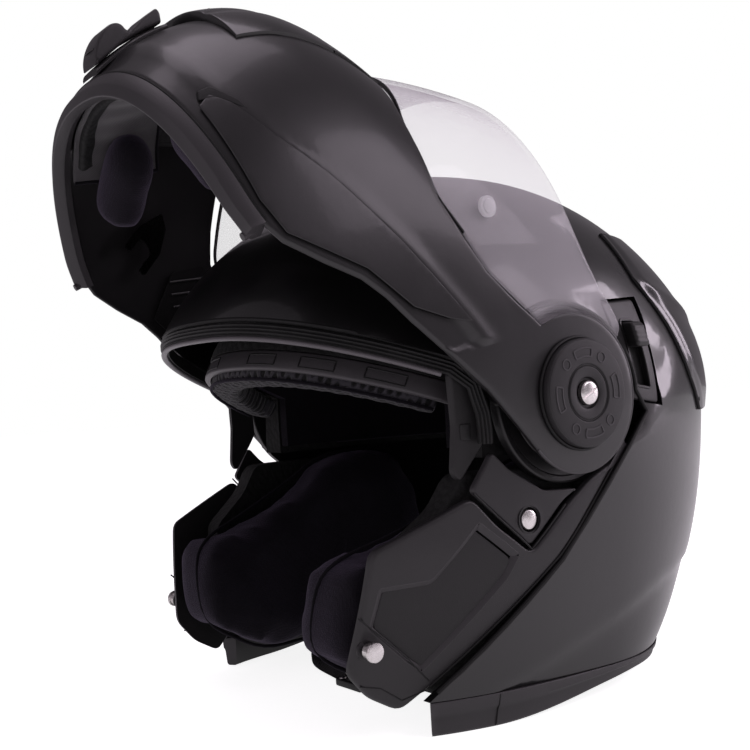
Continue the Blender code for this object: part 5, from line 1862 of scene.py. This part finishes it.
# ---- setting ----------------------------------------------------------------------------------------
def make_floor():
    bm = bmesh.new()
    bmesh.ops.create_grid(bm, x_segments=1, y_segments=1, size=6000)
    bmesh.ops.transform(bm, matrix=Matrix.Scale(MM, 4), verts=bm.verts)
    mesh = bpy.data.meshes.new("floor")
    bm.to_mesh(mesh)
    bm.free()
    floor = bpy.data.objects.new("floor", mesh)
    shader = Shader("floor_paper")
    shade = shader.noise(900.0, 3.0)
    shader.set(Base_Color=shader.mix(shade, (0.93, 0.93, 0.935), (0.96, 0.96, 0.96)), Roughness=1.0)
    seen = shader.node("LightPath").outputs["Is Camera Ray"]
    shader.set(Emission_Color=(1, 1, 1, 1), Emission_Strength=shader.span(seen, 0.0, 1.0, 0.3, 0.86),
        Specular_IOR_Level=0.0)
    shader.bump(shade, 0.00004)
    mesh.materials.append(shader.material)
    bpy.context.scene.collection.objects.link(floor)


def area_light(name, place, aim, size, power, tall=None):
    data = bpy.data.lights.new(name, "AREA")
    data.energy = power
    data.size = size
    data.color = (1.0, 0.88, 1.0)
    if tall:
        data.shape = "RECTANGLE"
        data.size_y = tall
    light = bpy.data.objects.new(name, data)
    light.location = place
    direction = Vector(aim) - Vector(place)
    light.rotation_euler = direction.to_track_quat("-Z", "Y").to_euler()
    bpy.context.scene.collection.objects.link(light)
    return light


def make_world():
    world = bpy.data.worlds.new("studio")
    bpy.context.scene.world = world
    world.use_nodes = True
    tree = world.node_tree
    background = tree.nodes["Background"]
    path = tree.nodes.new("ShaderNodeLightPath")
    mix = tree.nodes.new("ShaderNodeMixShader")
    white = tree.nodes.new("ShaderNodeBackground")
    white.inputs["Color"].default_value = (1, 1, 1, 1)
    white.inputs["Strength"].default_value = 1.0
    background.inputs["Color"].default_value = (1, 0.9, 1, 1)
    background.inputs["Strength"].default_value = 0.19
    tree.links.new(path.outputs["Is Camera Ray"], mix.inputs[0])
    tree.links.new(background.outputs[0], mix.inputs[1])
    tree.links.new(white.outputs[0], mix.inputs[2])
    tree.links.new(mix.outputs[0], tree.nodes["World Output"].inputs["Surface"])


def make_camera():
    data = bpy.data.cameras.new("camera")
    data.lens = 52.8
    data.sensor_width = 36
    camera = bpy.data.objects.new("camera", data)
    right = Vector((0.58272, 0.81038, -0.06093))
    up = Vector((0.04573, 0.04216, 0.99806))
    back = Vector((0.81138, -0.58438, -0.01249))
    turn = Matrix((right, up, back)).transposed().to_4x4()
    camera.matrix_world = Matrix.Translation((0.46722, PIVOT.y * MM - 0.36182, 0.15050)) @ turn
    bpy.context.scene.collection.objects.link(camera)
    bpy.context.scene.camera = camera


def build():
    make_shell()
    make_base_trim()
    make_spoiler()
    make_jaw()
    make_hinge_bases()
    make_gasket()
    make_brow()
    make_sun_visor()
    make_slider()
    make_liners()
    make_cheek_pads()
    make_neck_roll()
    make_straps()
    make_chin_shell()
    make_side_panels()
    make_chin_trim()
    make_chin_lining()
    make_inner_arms()
    make_front_vent()
    make_release_lever()
    make_latch_hooks()
    make_pivots()
    make_visor()
    make_floor()
    make_world()
    make_camera()
    area_light("key", (1.6, 0.9, 1.7), (0, 0, 0.16), 1.4, 12, 1.0)
    area_light("fill", (0.2, -2.2, 1.0), (0, 0, 0.16), 1.6, 5, 1.6)
    area_light("top", (-0.3, -0.2, 2.4), (0, 0, 0.2), 1.4, 10, 1.4)
    area_light("rim", (1.1, 2.2, 0.9), (0, 0, 0.16), 0.5, 15, 1.5)
    bpy.context.scene.view_settings.view_transform = "Standard"


build()
